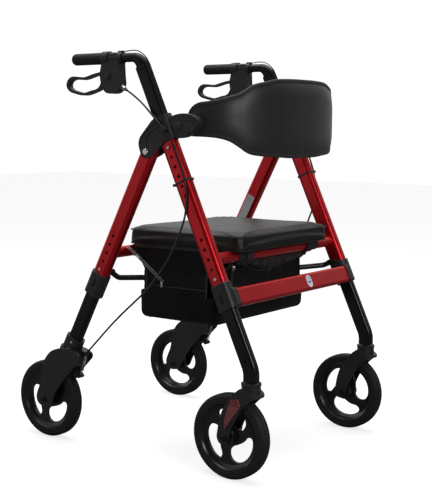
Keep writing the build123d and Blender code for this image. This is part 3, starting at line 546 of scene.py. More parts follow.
def seat_cushion():
    levels = [(3, SEAT_SKIRT_Z), (1.2, SEAT_SKIRT_Z + 1.5), (1.2, SEAT_Z1 - 9), (2.4, SEAT_Z1 - 5),
              (5.5, SEAT_Z1 - 2.4), (11, SEAT_Z1 - 1.2), (60, SEAT_Z1 - 0.4)]
    rings = [[(x, y, z) for x, y in seat_loop(inset)] for inset, z in levels]
    n = len(rings[0])
    verts = [p for ring in rings for p in ring]
    faces = grid_faces(len(rings), n, False, True)
    faces += [tuple(range(n))[::-1], tuple(range((len(rings) - 1) * n, len(rings) * n))]
    pad = make_mesh("seat_cushion", verts, faces, "vinyl")
    puff(pad, lambda p: p[2] < SEAT_Z0 + 4, 3.0, 4.0, 5.0)
    subdivide(pad)
    own(pad, "seat", "seat_pad")
    for name, z, inset, r in (("seat_top_seam", SEAT_Z1 - 7.5, -0.2, 1.1),
                              ("seat_low_seam", SEAT_SKIRT_Z + 2.2, 0.4, 1.3)):
        points = [(x, y, z) for x, y in seat_loop(inset)]
        seam = sweep(name, points, ring_section(r, 8), "vinyl", closed=True, up=(0, 0, 1))
        own(seam, "seat")


seat_cushion()


# ---- backrest
BACK_A, BACK_Y, BACK_B, BACK_POWER = 255.0, -150.0, 157.0, 2 / 2.5
TOP_KNOTS = [(0, 932), (60, 931.5), (110, 929), (140, 923), (176, 914), (204, 895), (230, 884), (262, 870)]
LOW_KNOTS = [(0, 743), (60, 743.5), (104, 746.5), (158, 750), (185, 756), (204, 770), (222, 784), (240, 792),
             (262, 796.5)]


def soft_curve(knots, x):
    """A smooth curve through knots with even slopes."""
    xs = [k[0] for k in knots]
    zs = [k[1] for k in knots]
    slopes = [0.0] + [
        (zs[i + 1] - zs[i - 1]) / (xs[i + 1] - xs[i - 1]) for i in range(1, len(xs) - 1)
    ] + [(zs[-1] - zs[-2]) / (xs[-1] - xs[-2])]
    x = min(abs(x), xs[-1])
    i = max(k for k in range(len(xs) - 1) if xs[k] <= x)
    h = xs[i + 1] - xs[i]
    t = (x - xs[i]) / h
    return (
        (2 * t ** 3 - 3 * t ** 2 + 1) * zs[i]
        + (t ** 3 - 2 * t ** 2 + t) * h * slopes[i]
        + (3 * t ** 2 - 2 * t ** 3) * zs[i + 1]
        + (t ** 3 - t ** 2) * h * slopes[i + 1]
    )


def bow_line():
    """The band's plan curve as arrays: distance along it, point, outward normal."""
    a = np.radians(np.linspace(-90, 90, 1600))
    x = BACK_A * np.abs(np.sin(a)) ** BACK_POWER * np.sign(a)
    y = BACK_Y - BACK_B * np.abs(np.cos(a)) ** BACK_POWER
    points = np.stack([x, y], 1)
    step = np.linalg.norm(np.diff(points, axis=0), axis=1)
    s = np.concatenate([[0], np.cumsum(step)])
    t = np.gradient(points, axis=0)
    t /= np.linalg.norm(t, axis=1, keepdims=True)
    normal = np.stack([t[:, 1], -t[:, 0]], 1)
    return s - s[-1] / 2, points, normal


BOW_S, BOW_P, BOW_N = bow_line()
BACK_HALF = BOW_S[-1]


def bow_at(s):
    p = np.array([np.interp(s, BOW_S, BOW_P[:, k]) for k in (0, 1)])
    n = np.array([np.interp(s, BOW_S, BOW_N[:, k]) for k in (0, 1)])
    return p, n / np.linalg.norm(n)


def band_limits(s):
    """The band's lower and upper edge at a distance along it, with rounded ends."""
    x = bow_at(s)[0][0]
    low, top = soft_curve(LOW_KNOTS, x), soft_curve(TOP_KNOTS, x)
    e = BACK_HALF - abs(s)
    if e < 40:
        top -= 40 - math.sqrt(max(40 ** 2 - (40 - e) ** 2, 0))
    if e < 18:
        low += 18 - math.sqrt(max(18 ** 2 - (18 - e) ** 2, 0))
    return low, top


def band_outline():
    """The band's edge in its flat pattern (distance along, height), as one closed line."""
    t = np.linspace(0, math.pi, 700)
    s = -BACK_HALF * np.cos(t)
    limits = [band_limits(v) for v in s]
    low, top = ([(v, pair[k]) for v, pair in zip(s, limits)] for k in (0, 1))
    return np.array(top + low[::-1])


def band_depth(d, s):
    """Half the band's thickness at distance d from its edge."""
    full = 6.6 + 3.2 * min(max((BACK_HALF - abs(s) - 40) / 160, 0), 1)
    rim = 3.6
    if d < rim:
        return math.sqrt(max(rim ** 2 - (rim - d) ** 2, 0))
    if d < 8.5:
        return rim
    t = min((d - 8.5) / 34, 1)
    return rim + (full - rim) * (1 - (1 - t) ** 2) ** 0.8


def backrest():
    outline = band_outline()
    cols, rows = 240, 56
    s_values = -BACK_HALF * np.cos(np.linspace(0, math.pi, cols))
    s_values = 0.75 * s_values + 0.25 * np.linspace(-BACK_HALF, BACK_HALF, cols)
    verts = []
    for s in s_values:
        low, top = band_limits(s)
        p, n = bow_at(s)
        v = (1 - np.cos(np.linspace(0, math.pi, rows))) / 2
        v = 0.7 * v + 0.3 * np.linspace(0, 1, rows)
        z = low + (top - low) * v
        d = [np.min(np.hypot(outline[:, 0] - s, outline[:, 1] - zz)) for zz in z]
        d[0] = d[-1] = 0.0
        if abs(abs(s) - BACK_HALF) < 1e-6:
            d = [0.0] * rows
        half = [band_depth(dd, s) for dd in d]
        front = [(p[0] + n[0] * h, p[1] + n[1] * h, zz) for h, zz in zip(half, z)]
        back = [(p[0] - n[0] * h, p[1] - n[1] * h, zz) for h, zz in zip(half, z)]
        verts += front + back[::-1]
    band = make_mesh("backrest_band", verts, grid_faces(cols, 2 * rows, False, True), "band", 80)
    own(band, "backrest", "backrest_pad")
    return outline


def edge_frame(outline):
    """The direction along a closed outline and the unit one into it, at each point."""
    ahead = np.roll(outline, -1, 0) - np.roll(outline, 1, 0)
    inward = np.stack([ahead[:, 1], -ahead[:, 0]], 1)
    return ahead, inward / np.maximum(np.linalg.norm(inward, axis=1, keepdims=True), 1e-9)


def backrest_binding(outline):
    """A tape folded over the band's edge all round."""
    _, inward = edge_frame(outline)
    section = [(-0.9, 0.0), (-0.3, 3.3), (2.0, 4.9), (5.0, 5.0), (8.0, 4.6), (8.6, 3.4), (8.6, -3.4),
               (8.0, -4.6), (5.0, -5.0), (2.0, -4.9), (-0.3, -3.3)]
    keep = [0]
    for i in range(1, len(outline)):
        if np.hypot(*(outline[i] - outline[keep[-1]])) > 2.2:
            keep.append(i)
    verts = []
    for i in keep:
        s, z = outline[i]
        for along, off in section:
            ss, zz = s + inward[i][0] * along, z + inward[i][1] * along
            p, n = bow_at(np.clip(ss, -BACK_HALF, BACK_HALF))
            over = max(abs(ss) - BACK_HALF, 0)
            verts.append((p[0] + n[0] * off, p[1] + n[1] * off + over, zz))
    faces = grid_faces(len(keep), len(section), True, True)
    tape = make_mesh("backrest_binding", verts, faces, "binding", 50)
    own(tape, "backrest")


BAND = backrest()
backrest_binding(BAND)


# ---- bag
BAG_X, BAG_Y0, BAG_Y1 = 200.0, -195.0, 49.0
BAG_Z0, BAG_SLIT_Z = 335.0, 405.0
BAG_SEAM_Z = 421.0
BAG_CORNER, BAG_CUT = 16.0, 28.0
BAG_MIDDLE = (BAG_Y0 + BAG_Y1) / 2
FRONT_TUBE, REAR_TUBE = (-235, 510), (80, 503)   # (y, z) of the cross tubes
SNAP_X = -150
FRONT_EDGE = [(-172, 493), (-150, 489), (-118, 486), (-88, 482), (-35, 461), (-3, 459), (40, 461), (81, 466),
              (130, 477), (172, 490)]


def front_edge(x):
    """The height of the bag's front edge at x."""
    return np.interp(x, *zip(*FRONT_EDGE))


def bag_walls():
    """The bag's plan outline: each wall's points from slit to slit, then its corner's points."""
    w, l, r, c = BAG_X, (BAG_Y1 - BAG_Y0) / 2, BAG_CORNER, BAG_CUT
    walls = []
    for (x0, y0), (x1, y1), normal in (
        ((-w, -l), (w, -l), (0, -1)), ((w, -l), (w, l), (1, 0)),
        ((w, l), (-w, l), (0, 1)), ((-w, l), (-w, -l), (-1, 0)),
    ):
        length = math.hypot(x1 - x0, y1 - y0)
        ux, uy = (x1 - x0) / length, (y1 - y0) / length
        count = round((length - 2 * c) / 7)
        wall = []
        for i in range(count + 1):
            d = c + (length - 2 * c) * i / count
            wall.append(((x0 + ux * d, y0 + uy * d), normal))
        near = 22.0
        corner = [((x1 - ux * near, y1 - uy * near), normal)]
        cx, cy = x1 - ux * r - normal[0] * r, y1 - uy * r - normal[1] * r
        for i in range(6):
            a = math.radians(90 * i / 5)
            nx, ny = (normal[k] * math.cos(a) + (ux, uy)[k] * math.sin(a) for k in (0, 1))
            corner.append(((cx + nx * r, cy + ny * r), (nx, ny)))
        corner.append(((x1 - normal[0] * near, y1 - normal[1] * near), (ux, uy)))
        walls.append((wall, corner))
    return walls


def bag_point(at, normal, z, top=None):
    """A point of the bag's outside: bulging a little, creased, with its upper edge gathered."""
    (x, y), (nx, ny) = at, normal
    t = min(max((z - BAG_Z0) / 155.0, 0), 1)
    across = abs(x) / BAG_X if abs(ny) > abs(nx) else abs(y) / ((BAG_Y1 - BAG_Y0) / 2)
    across = min(across, 1)
    belly = math.sin(math.pi * min(t * 1.25, 1)) * (1 - across ** 4)
    out = belly * (5.0 if abs(ny) > abs(nx) else 3.0)
    here = Vector((x, y + BAG_MIDDLE, z))
    crease = abs(noise.noise(Vector((here.x / 62, here.y / 62, here.z / 34)))) * 3.4
    fine = noise.noise(Vector((here.x / 21, here.y / 21, here.z / 15))) * 0.9
    out += (crease + fine) * min(1, 0.35 + t)
    out -= 1.6 * math.exp(-((z - BAG_SEAM_Z) / 4.0) ** 2)
    if top is not None:
        near = math.exp(-((top - z) / 16.0) ** 2)
        if ny < -0.5:
            slack = max(0.0, 1 - (x / 150.0) ** 2)
            out += near * slack * (4.0 + 3.2 * math.sin(x / 8.5) + 2.0 * math.sin(x / 19.0 + 1.0))
        else:
            out += near * 0.8 * math.sin((x + y) / 11.0)
    if abs(nx) > 0.5:
        out = max(out, 0.4)
        rise = min(max((z - 446) / 70.0, 0), 1)
        flare = rise * rise * (3 - 2 * rise) * abs(y / 94.0) ** 1.5
        y += flare * (36.0 if y > 0 else -40.0)
    z_wave = 1.2 * noise.noise(Vector((here.x / 45, here.y / 45, 3.0))) * t
    return (x + nx * out, y + BAG_MIDDLE + ny * out, z + z_wave)


def bag_top(at, normal):
    x = at[0]
    if normal[1] < -0.5:
        return front_edge(x)
    if normal[1] > 0.5:
        return 494.0 - 4.0 * (1 - (x / BAG_X) ** 2)
    return 521.0 - 3.0 * abs(at[1] / 94.0) ** 3


def fabric(obj, thick):
    """Give a single-layer cloth mesh its thickness, inwards."""
    mod = obj.modifiers.new("thickness", "SOLIDIFY")
    mod.thickness = thick * MM
    mod.offset = -1
    apply(obj, mod)


def hang(obj):
    """Bake a bag piece's transform into its mesh, leaving it where it stands."""
    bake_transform(obj)


def bag():
    walls = bag_walls()
    around = [p for wall, corner in walls for p in wall + corner]
    n = len(around)
    rows = [[(x - nx * inset, y - ny * inset + BAG_MIDDLE, BAG_Z0 + lift) for (x, y), (nx, ny) in around]
            for inset, lift in ((46, 1.5), (28, 0.4), (18, 0.0))]
    for i in range(1, 6):
        a = math.radians(18 * i)
        inset, z = 18 * (1 - math.sin(a)), BAG_Z0 + 18 * (1 - math.cos(a))
        blend = i / 5
        row = []
        for (px, py), normal in around:
            x, y = px - normal[0] * inset, py - normal[1] * inset
            flat, full = (x, y + BAG_MIDDLE, z), bag_point((x, y), normal, z)
            row.append(tuple(flat[k] * (1 - blend) + full[k] * blend for k in range(3)))
        rows.append(row)
    for i in range(8):
        z = 358 + (BAG_SLIT_Z - 358) * i / 7
        rows.append([bag_point(p, normal, z) for p, normal in around])
    verts = [p for row in rows for p in row]
    faces = grid_faces(len(rows), n, False, True)
    faces.append(tuple(range(n)))
    steps = 16
    for wall, corner in walls:
        base = len(verts)
        for k in range(steps + 1):
            for at, normal in wall:
                top = bag_top(at, normal)
                z = BAG_SLIT_Z + (top - BAG_SLIT_Z) * k / steps
                verts.append(bag_point(at, normal, z, top if k else None))
        faces += [tuple(base + i for i in f) for f in grid_faces(steps + 1, len(wall))]
    shell = make_mesh("bag_shell", verts, faces, "nylon", 60)
    fabric(shell, 1.8)
    subdivide(shell)
    hang(shell)
    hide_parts("bag")
    bag_trims(walls)


def bag_trims(walls):
    """The bound top edges, the piped seam round the middle and the slits' bindings."""
    tape = [(-0.8, -5.5), (1.0, -5.8), (2.0, -4.6), (2.1, 2.2), (1.0, 3.2), (-2.6, 3.2), (-3.6, 2.2),
            (-3.6, -4.6), (-2.6, -5.8)]
    slit_tape = [(-2.2, -1.8), (2.2, -1.8), (2.6, 0), (2.2, 1.2), (-2.2, 1.2), (-2.6, 0)]
    for i, (wall, corner) in enumerate(walls):
        points = []
        for at, normal in wall:
            top = bag_top(at, normal)
            points.append(bag_point(at, normal, top, top))
        hang(sweep(f"bag_hem_{i}", points, tape, "hem", up=(0, 0, 1)))
        for (at, normal), which in ((wall[0], "a"), (wall[-1], "b")):
            rise = bag_top(at, normal) - BAG_SLIT_Z
            edge = [bag_point(at, normal, BAG_SLIT_Z + rise * k / 12) for k in range(13)]
            along = (normal[1], -normal[0], 0)
            hang(sweep(f"bag_slit_{i}_{which}", edge, slit_tape, "hem", side_way=along))
        seam = [Vector(bag_point(at, normal, BAG_SEAM_Z)) + Vector((*normal, 0)) * 0.6
                for at, normal in wall]
        hang(sweep(f"bag_seam_{i}", seam, ring_section(1.5, 8), "hem", up=(0, 0, 1)))


def strap_loop(name, x, tube, wall_y, wall_z, width):
    """A webbing loop round a cross tube, with both tails running down to the bag's wall."""
    ty, tz = tube
    back = 1 if wall_y > ty else -1
    r = 15.0
    tail_out = Vector((x, wall_y - back * 1.4, wall_z))
    tail_in = Vector((x, wall_y + back * 1.6, wall_z))
    arc = []
    for i in range(25):
        a = math.radians(52 + 248 * i / 24)
        arc.append(Vector((x, ty - back * r * math.cos(math.pi - a), tz + r * math.sin(a))))
    points = [tail_in, tail_in.lerp(arc[0], 0.35) + Vector((0, back * 1.2, 0)), *arc,
              tail_out.lerp(arc[-1], 0.35), tail_out]
    section = flat_section(width / 2, 0.55)
    return sweep(name, points, section, "webbing", side_way=(1, 0, 0), angle=60)


def bag_hangers():
    """The straps round the cross tubes, and the snap hook that hangs from the front one."""
    for x, end in ((-168, "r"), (168, "l")):
        front = strap_loop(f"bag_strap_front_{end}", x, FRONT_TUBE, BAG_Y0, 470, 25)
        own(front, "front_frame")
        rear = strap_loop(f"bag_strap_rear_{end}", x, REAR_TUBE, BAG_Y1, 470, 25)
        own(rear, "rear_frame")
    snap_strap = strap_loop("snap_strap", SNAP_X, FRONT_TUBE, BAG_Y0 - 12, 486, 13)
    cap = [(-6.4, 0), (-6.2, 2.6), (-4.6, 4.9), (-1.5, 6.3), (2.0, 6.2), (4.8, 4.6), (6.0, 3.0), (9.5, 2.6),
           (10.2, 1.6), (10.4, 0)]
    snap = capped_lathe("snap_hook", cap, "steel", (SNAP_X, -209, 478), (0, 0.1, -1), 28)
    ring = [(SNAP_X + 6.2 * c, -208, 486 + 4.4 * s) for c, s in circle(24)]
    link = sweep("snap_ring", ring, ring_section(0.9, 8), "steel", closed=True)
    low = [(SNAP_X, -206.5 + (470 - z) * 0.12, z) for z in (470, 460, 450, 440, 433)]
    tail = sweep("snap_tail", low, flat_section(5.5, 0.9), "webbing", side_way=(1, 0, 0))
    for piece, slot in ((snap_strap, "nylon"), (snap, "steel"), (link, "steel"), (tail, "nylon")):
        own(piece, "front_frame")


def bag_apron():
    """Loose fabric gathered between the bag's front edge and the front cross tube."""
    cols, rows = 150, 16
    verts = []
    for i in range(rows):
        t = i / (rows - 1)
        for j in range(cols):
            x = -166 + 332 * j / (cols - 1)
            y0, z0, y1, z1 = BAG_Y0 - 3.5, front_edge(x) - 2, -228.0, 494.0
            ease = t ** 0.8
            fold = math.sin(x / 6.2 + 1.6 * math.sin(x / 31)) + 0.5 * math.sin(x / 3.9 + 2.0)
            deep = math.sin(math.pi * min(t * 1.1, 1)) * 2.6 * fold
            soft = noise.noise(Vector((x / 26, t * 2.2, 4.0))) * 5.0 * math.sin(math.pi * t)
            y = y0 + (y1 - y0) * ease - 7.0 * math.sin(math.pi * t) + deep + soft
            z = z0 + (z1 - z0) * t - 5.0 * math.sin(math.pi * t) + 0.4 * deep
            verts.append((x, y, z))
    apron = make_mesh("bag_apron", verts, grid_faces(rows, cols), "apron", 80)
    fabric(apron, 0.9)
    hang(apron)


bag()
bag_hangers()
bag_apron()


# ---- cables
def front_yz(s, back=0.0):
    """A point (y, z) s up the front leg's axis and back behind it."""
    lean = math.radians(FRONT_LEAN)
    return (
        FRONT_FOOT[0] + s * math.sin(lean) + back * math.cos(lean),
        FRONT_FOOT[1] + s * math.cos(lean) - back * math.sin(lean),
    )


CLIP_YZ, CLIP_ANGLE, CLIP_X = (-107.0, 812.0), 42.0, 22.2
LEG_CABLE_X = 16.5
ADJUSTER, ADJUSTER_ANGLE = (27.0, 906.5), 61.0


def clip_point(distance):
    a = math.radians(CLIP_ANGLE)
    return CLIP_YZ[0] - distance * math.sin(a), CLIP_YZ[1] - distance * math.cos(a)


def outside_bend(angle, gap):
    """A point (y, z) outside the handlebar's bend, angle degrees round it."""
    turn, round_it = 90 - FRONT_LEAN, math.radians(angle)
    corner = FRONT_FOOT[0] + (BAR_Z - FRONT_FOOT[1]) * math.tan(math.radians(FRONT_LEAN))
    start = corner + BAR_BEND_R * math.tan(math.radians(turn / 2))
    reach = BAR_BEND_R + BAR_R + (POST_FRONT - BAR_R) * (angle / turn) ** 1.3 + gap
    return start - reach * math.sin(round_it), BAR_Z - BAR_BEND_R + reach * math.cos(round_it)


def on_side(sx, points):
    """Points given as (outward from the leg plane, y, z) on one side of the walker."""
    return [(sx * (TRACK + p[0]), p[1], p[2]) for p in points]


def cable(name, route, radius=CABLE_R):
    """A cable along a route."""
    piece = sweep(name, line(route), ring_section(radius, 14), "cable")
    return piece


for side, sx in SIDES:
    slope = math.radians(ADJUSTER_ANGLE)
    along = (-math.sin(slope), -math.cos(slope))
    start = (0, ADJUSTER[0] - 4 * along[0], ADJUSTER[1] - 4 * along[1])
    leave = (0, ADJUSTER[0] + 24 * along[0], ADJUSTER[1] + 24 * along[1])
    main = cable(f"brake_cable_top_{side}", on_side(sx, [
        start, leave, (10, -36, 871), (21, -70, 847), (CLIP_X, *clip_point(-17)), (CLIP_X, *clip_point(-0.3)),
    ]))
    front = -POST_FRONT - 2.2
    wire = cable(f"thin_wire_{side}", on_side(sx, [
        (0, 44, WIRE_Z), (0, 29, WIRE_Z), (0, 14, 998.6),
        *[(0, *outside_bend(*b)) for b in ((12, 6.0), (28, 4.6), (45, 3.2), (58, 2.8))],
        (0, *front_yz(750, front - 0.4)),
        (0, *front_yz(700, front)), (0, *front_yz(636, front - 0.2)),
    ]), WIRE_R)
    for piece in (main, wire):
        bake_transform(piece)
    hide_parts(f"upper_cables_{side}")

    leg = cable(f"brake_cable_leg_{side}", on_side(sx, [
        (CLIP_X, *clip_point(0.3)), (CLIP_X, *clip_point(17)), (CLIP_X - 1.2, *front_yz(570, -19)),
        (LEG_CABLE_X, *front_yz(541, -20)), (LEG_CABLE_X, *front_yz(486, -18.5)),
        (LEG_CABLE_X, *front_yz(455, -14)), (LEG_CABLE_X, *front_yz(427, -2)),
    ]))
    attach(leg, "front_frame")
    to_guide = cable(f"brake_cable_middle_{side}", on_side(sx, [
        (LEG_CABLE_X, *front_yz(426.4, -1.74)), (LEG_CABLE_X, *front_yz(399, 10)),
        (LEG_CABLE_X + 2, -158, 573), (20, -122, 503), (20, -92, 466.7), (20, -87, 460.7),
    ]))
    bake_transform(to_guide)
    to_brake = cable(f"brake_cable_low_{side}", on_side(sx, [
        (20, -87, 460.7), (20, -82, 454.6), (20, -60, 428), (17, -12, 390), (13.5, 30, 357), (8, 80, 315),
        (2, 122, 277), (0, 166, 236),
    ]))
    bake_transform(to_brake)
    if sx > 0:
        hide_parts("leg_cables")
        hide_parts("lower_cables")


# ---- wheels and grips
def tyre(name, body, node, centre):
    """A solid tyre: bead lips, a step in the sidewall, round shoulders and a grooved tread."""
    outer = [(-15.4, 83.6), (-17.2, 84.4), (-17.5, 86.0), (-17.1, 88.6), (-16.6, 89.4), (-17.0, 90.2),
             (-17.3, 92.6), (-16.6, 95.6), (-15.2, 98.2), (-13.0, 100.0), (-10.6, 100.9), (-8.0, 101.2),
             (-7.4, 100.0), (-5.8, 100.0), (-5.2, 101.4), (-2.0, 101.6)]
    profile = outer + [(-x, r) for x, r in reversed(outer)]
    body_piece = lathe(name, profile, "tyre", centre, 120, 32)
    own(body_piece, body, node)
    verts, faces = [], []
    count = 84
    for i in range(count):
        for sign in (-1, 1):
            a = 2 * math.pi * (i + (0.5 if sign > 0 else 0)) / count
            w = 2 * math.pi / count * 0.30
            base = len(verts)
            for r, spread in ((99.6, 1.0), (101.5, 0.82)):
                for x0, skew in ((9.4, 0.0), (13.2, 0.25)):
                    drop = 1.15 if x0 > 10 else 0.0
                    for e in (-1, 1):
                        b = a + e * w * spread + skew * w
                        rr = r - drop
                        verts.append((centre[0] + sign * x0, centre[1] + rr * math.cos(b),
                                      centre[2] + rr * math.sin(b)))
            q = [base + k for k in range(8)]
            faces += [(q[4], q[5], q[7], q[6]), (q[0], q[4], q[6], q[2]), (q[1], q[3], q[7], q[5]),
                      (q[2], q[6], q[7], q[3]), (q[0], q[1], q[5], q[4])]
    blocks = make_mesh(name + "_blocks", verts, faces, "tyre", 30)
    own(blocks, body)


def grip(name, sx, body, node):
    """A moulded rubber hand grip with shallow rings, a collar at its root and a domed end."""
    outer = [(98.0, 11.3), (98.0, 14.6), (99.0, 15.4), (102.2, 15.4), (103.2, 14.4)]
    y = 105.0
    while y < 182:
        outer += [(y, 14.5), (y + 0.7, 14.15), (y + 1.3, 14.15), (y + 2.0, 14.5)]
        y += 3.6
    outer += [(186.0, 14.6), (190.5, 14.2), (193.6, 12.6), (195.4, 9.6), (196.0, 5.5), (196.1, 0.0),
              (188.3, 0.0), (188.3, 11.3)]
    piece = lathe(name, outer, "grip", (sx * TRACK, 0, BAR_Z), 64, 30, "y")
    own(piece, body, node)


for side, sx in SIDES:
    tyre(f"front_tread_{side}", f"front_wheel_{side}", f"front_tyre_{side}", (sx * TRACK, -294, 101.6))
    tyre(f"rear_tread_{side}", f"rear_wheel_{side}", f"rear_tyre_{side}", (sx * TRACK, 294, 101.6))
    grip(f"grip_{side}", sx, f"handle_{side}", f"hand_grip_{side}")


# ---- small fittings
def dome(radius, height):
    """The profile of a low domed head with a recess, from its base to its middle."""
    return [(-1.0, 0), (-1.0, radius), (height * 0.35, radius), (height * 0.8, radius * 0.8),
            (height, radius * 0.42), (height * 0.55, radius * 0.36), (height * 0.55, 0)]


def screw(name, at, direction, radius, height, body, key="steel"):
    piece = capped_lathe(name, dome(radius, height), key, at, direction, 24, 30)
    own(piece, body)


def rear_yz(t, across=0.0):
    """A point (y, z) t down the rear leg's axis from the fold pivot and across it, backwards."""
    lean = math.radians(REAR_LEAN)
    return (
        PIVOT[0] + t * math.sin(lean) + across * math.cos(lean),
        PIVOT[1] - t * math.cos(lean) + across * math.sin(lean),
    )


REFLECTOR = [(-310, 195), (-332, 200), (-339, 184), (-320, 159), (-293.5, 122), (-293, 145), (-301.5, 172)]
# the line between the red lens's top and its lower part, which is painted lighter and pinker as a reflection
SPLIT_A, SPLIT_B = (-305.5, 181.5), (-337.5, 181)


def spring(side, sx):
    """The rear brake's return spring, from the cable's stop to the post on the brake arm."""
    a, b = Vector((sx * TRACK, 168.5, 231.5)), Vector((sx * TRACK, 184.5, 178.5))
    w, length = (b - a).normalized(), (b - a).length
    u = Vector((1, 0, 0))
    v = w.cross(u)
    points = []
    turns, steps, r = 11, 16, 4.3
    for i in range(turns * steps + 1):
        t = i / (turns * steps)
        angle = 2 * math.pi * turns * t
        points.append(a + w * (length * t) + (u * math.cos(angle) + v * math.sin(angle)) * r)
    coil = sweep(f"brake_spring_{side}", points, ring_section(0.75, 8), "steel")
    middle = a + w * length * 0.5
    core = sweep(f"brake_wire_{side}", [a - w * 4, middle, b + w * 3], ring_section(0.9, 8), "steel")
    for piece in (coil, core):
        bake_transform(piece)


def cable_tie(side, sx):
    """A flat tie that holds the brake cable to the front leg."""
    ring = rounded([(-14.4, -21.9), (14.2, -21.9), (20.2, -21.4), (20.4, -13.2), (14.4, -8.0),
                    (14.4, 21.9), (-14.4, 21.9)], 6.5)
    lean = math.radians(FRONT_LEAN)
    back = Vector((0, math.cos(lean), -math.sin(lean)))
    leg_up = Vector((0, math.sin(lean), math.cos(lean)))
    base = Vector((sx * TRACK, *front_yz(468)))
    points = [base + Vector((sx * x, 0, 0)) + back * b for x, b in ring]
    band = sweep(f"cable_tie_{side}", points, [(-2.4, -0.5), (2.4, -0.5), (2.4, 0.6), (-2.4, 0.6)], "plastic",
                 closed=True, side_way=tuple(leg_up))
    own(band, "front_frame")
    here = base + back * 19.0 + Vector((sx * 15.2, 0, 0))
    lock = sweep(f"tie_head_{side}", [here, here + Vector((sx * 3.0, 0, 0))],
                 rounded(flat_section(3, 2.6), 1.2), "plastic", side_way=tuple(leg_up))
    own(lock, "front_frame")


def adjuster(side, sx):
    """The bright barrel adjuster where the cable leaves the housing."""
    a = math.radians(ADJUSTER_ANGLE)
    out = (0, -math.sin(a), -math.cos(a))
    profile = [(-17.0, 0), (-17.0, 4.9), (-13.5, 4.9), (-13.0, 5.5), (-10.5, 5.5), (-10.0, 4.9), (-9.0, 5.6)]
    for i in range(5):
        y = -8.4 + i * 1.5
        profile += [(y, 5.6), (y + 0.5, 5.1), (y + 1.0, 5.6)]
    profile += [(-0.6, 5.4), (0.4, 4.6), (3.4, 3.4), (3.6, 2.3), (3.6, 0)]
    piece = capped_lathe(f"adjuster_{side}", profile, "steel", (sx * TRACK, *ADJUSTER), out, 30, 30)
    own(piece, f"handle_{side}")


def ellipse_plate(name, centre, normal, up, half_up, half_side, key, height):
    """A low domed oval plate."""
    n = Vector(normal).normalized()
    u = Vector(up).normalized()
    s = n.cross(u)
    o = Vector(centre)
    verts, steps = [], 40
    rows = [(1.0, -0.6), (1.0, 0.5 * height), (0.93, 0.85 * height), (0.8, height), (0.4, height * 1.05)]
    for scale, lift in rows:
        for cosine, sine in circle(steps):
            verts.append(tuple(o + n * lift + (u * half_up * sine + s * half_side * cosine) * scale))
    faces = grid_faces(len(rows), steps, False, True)
    faces.append(tuple(range((len(rows) - 1) * steps, len(rows) * steps)))
    return make_mesh(name, verts, faces, key, 40)


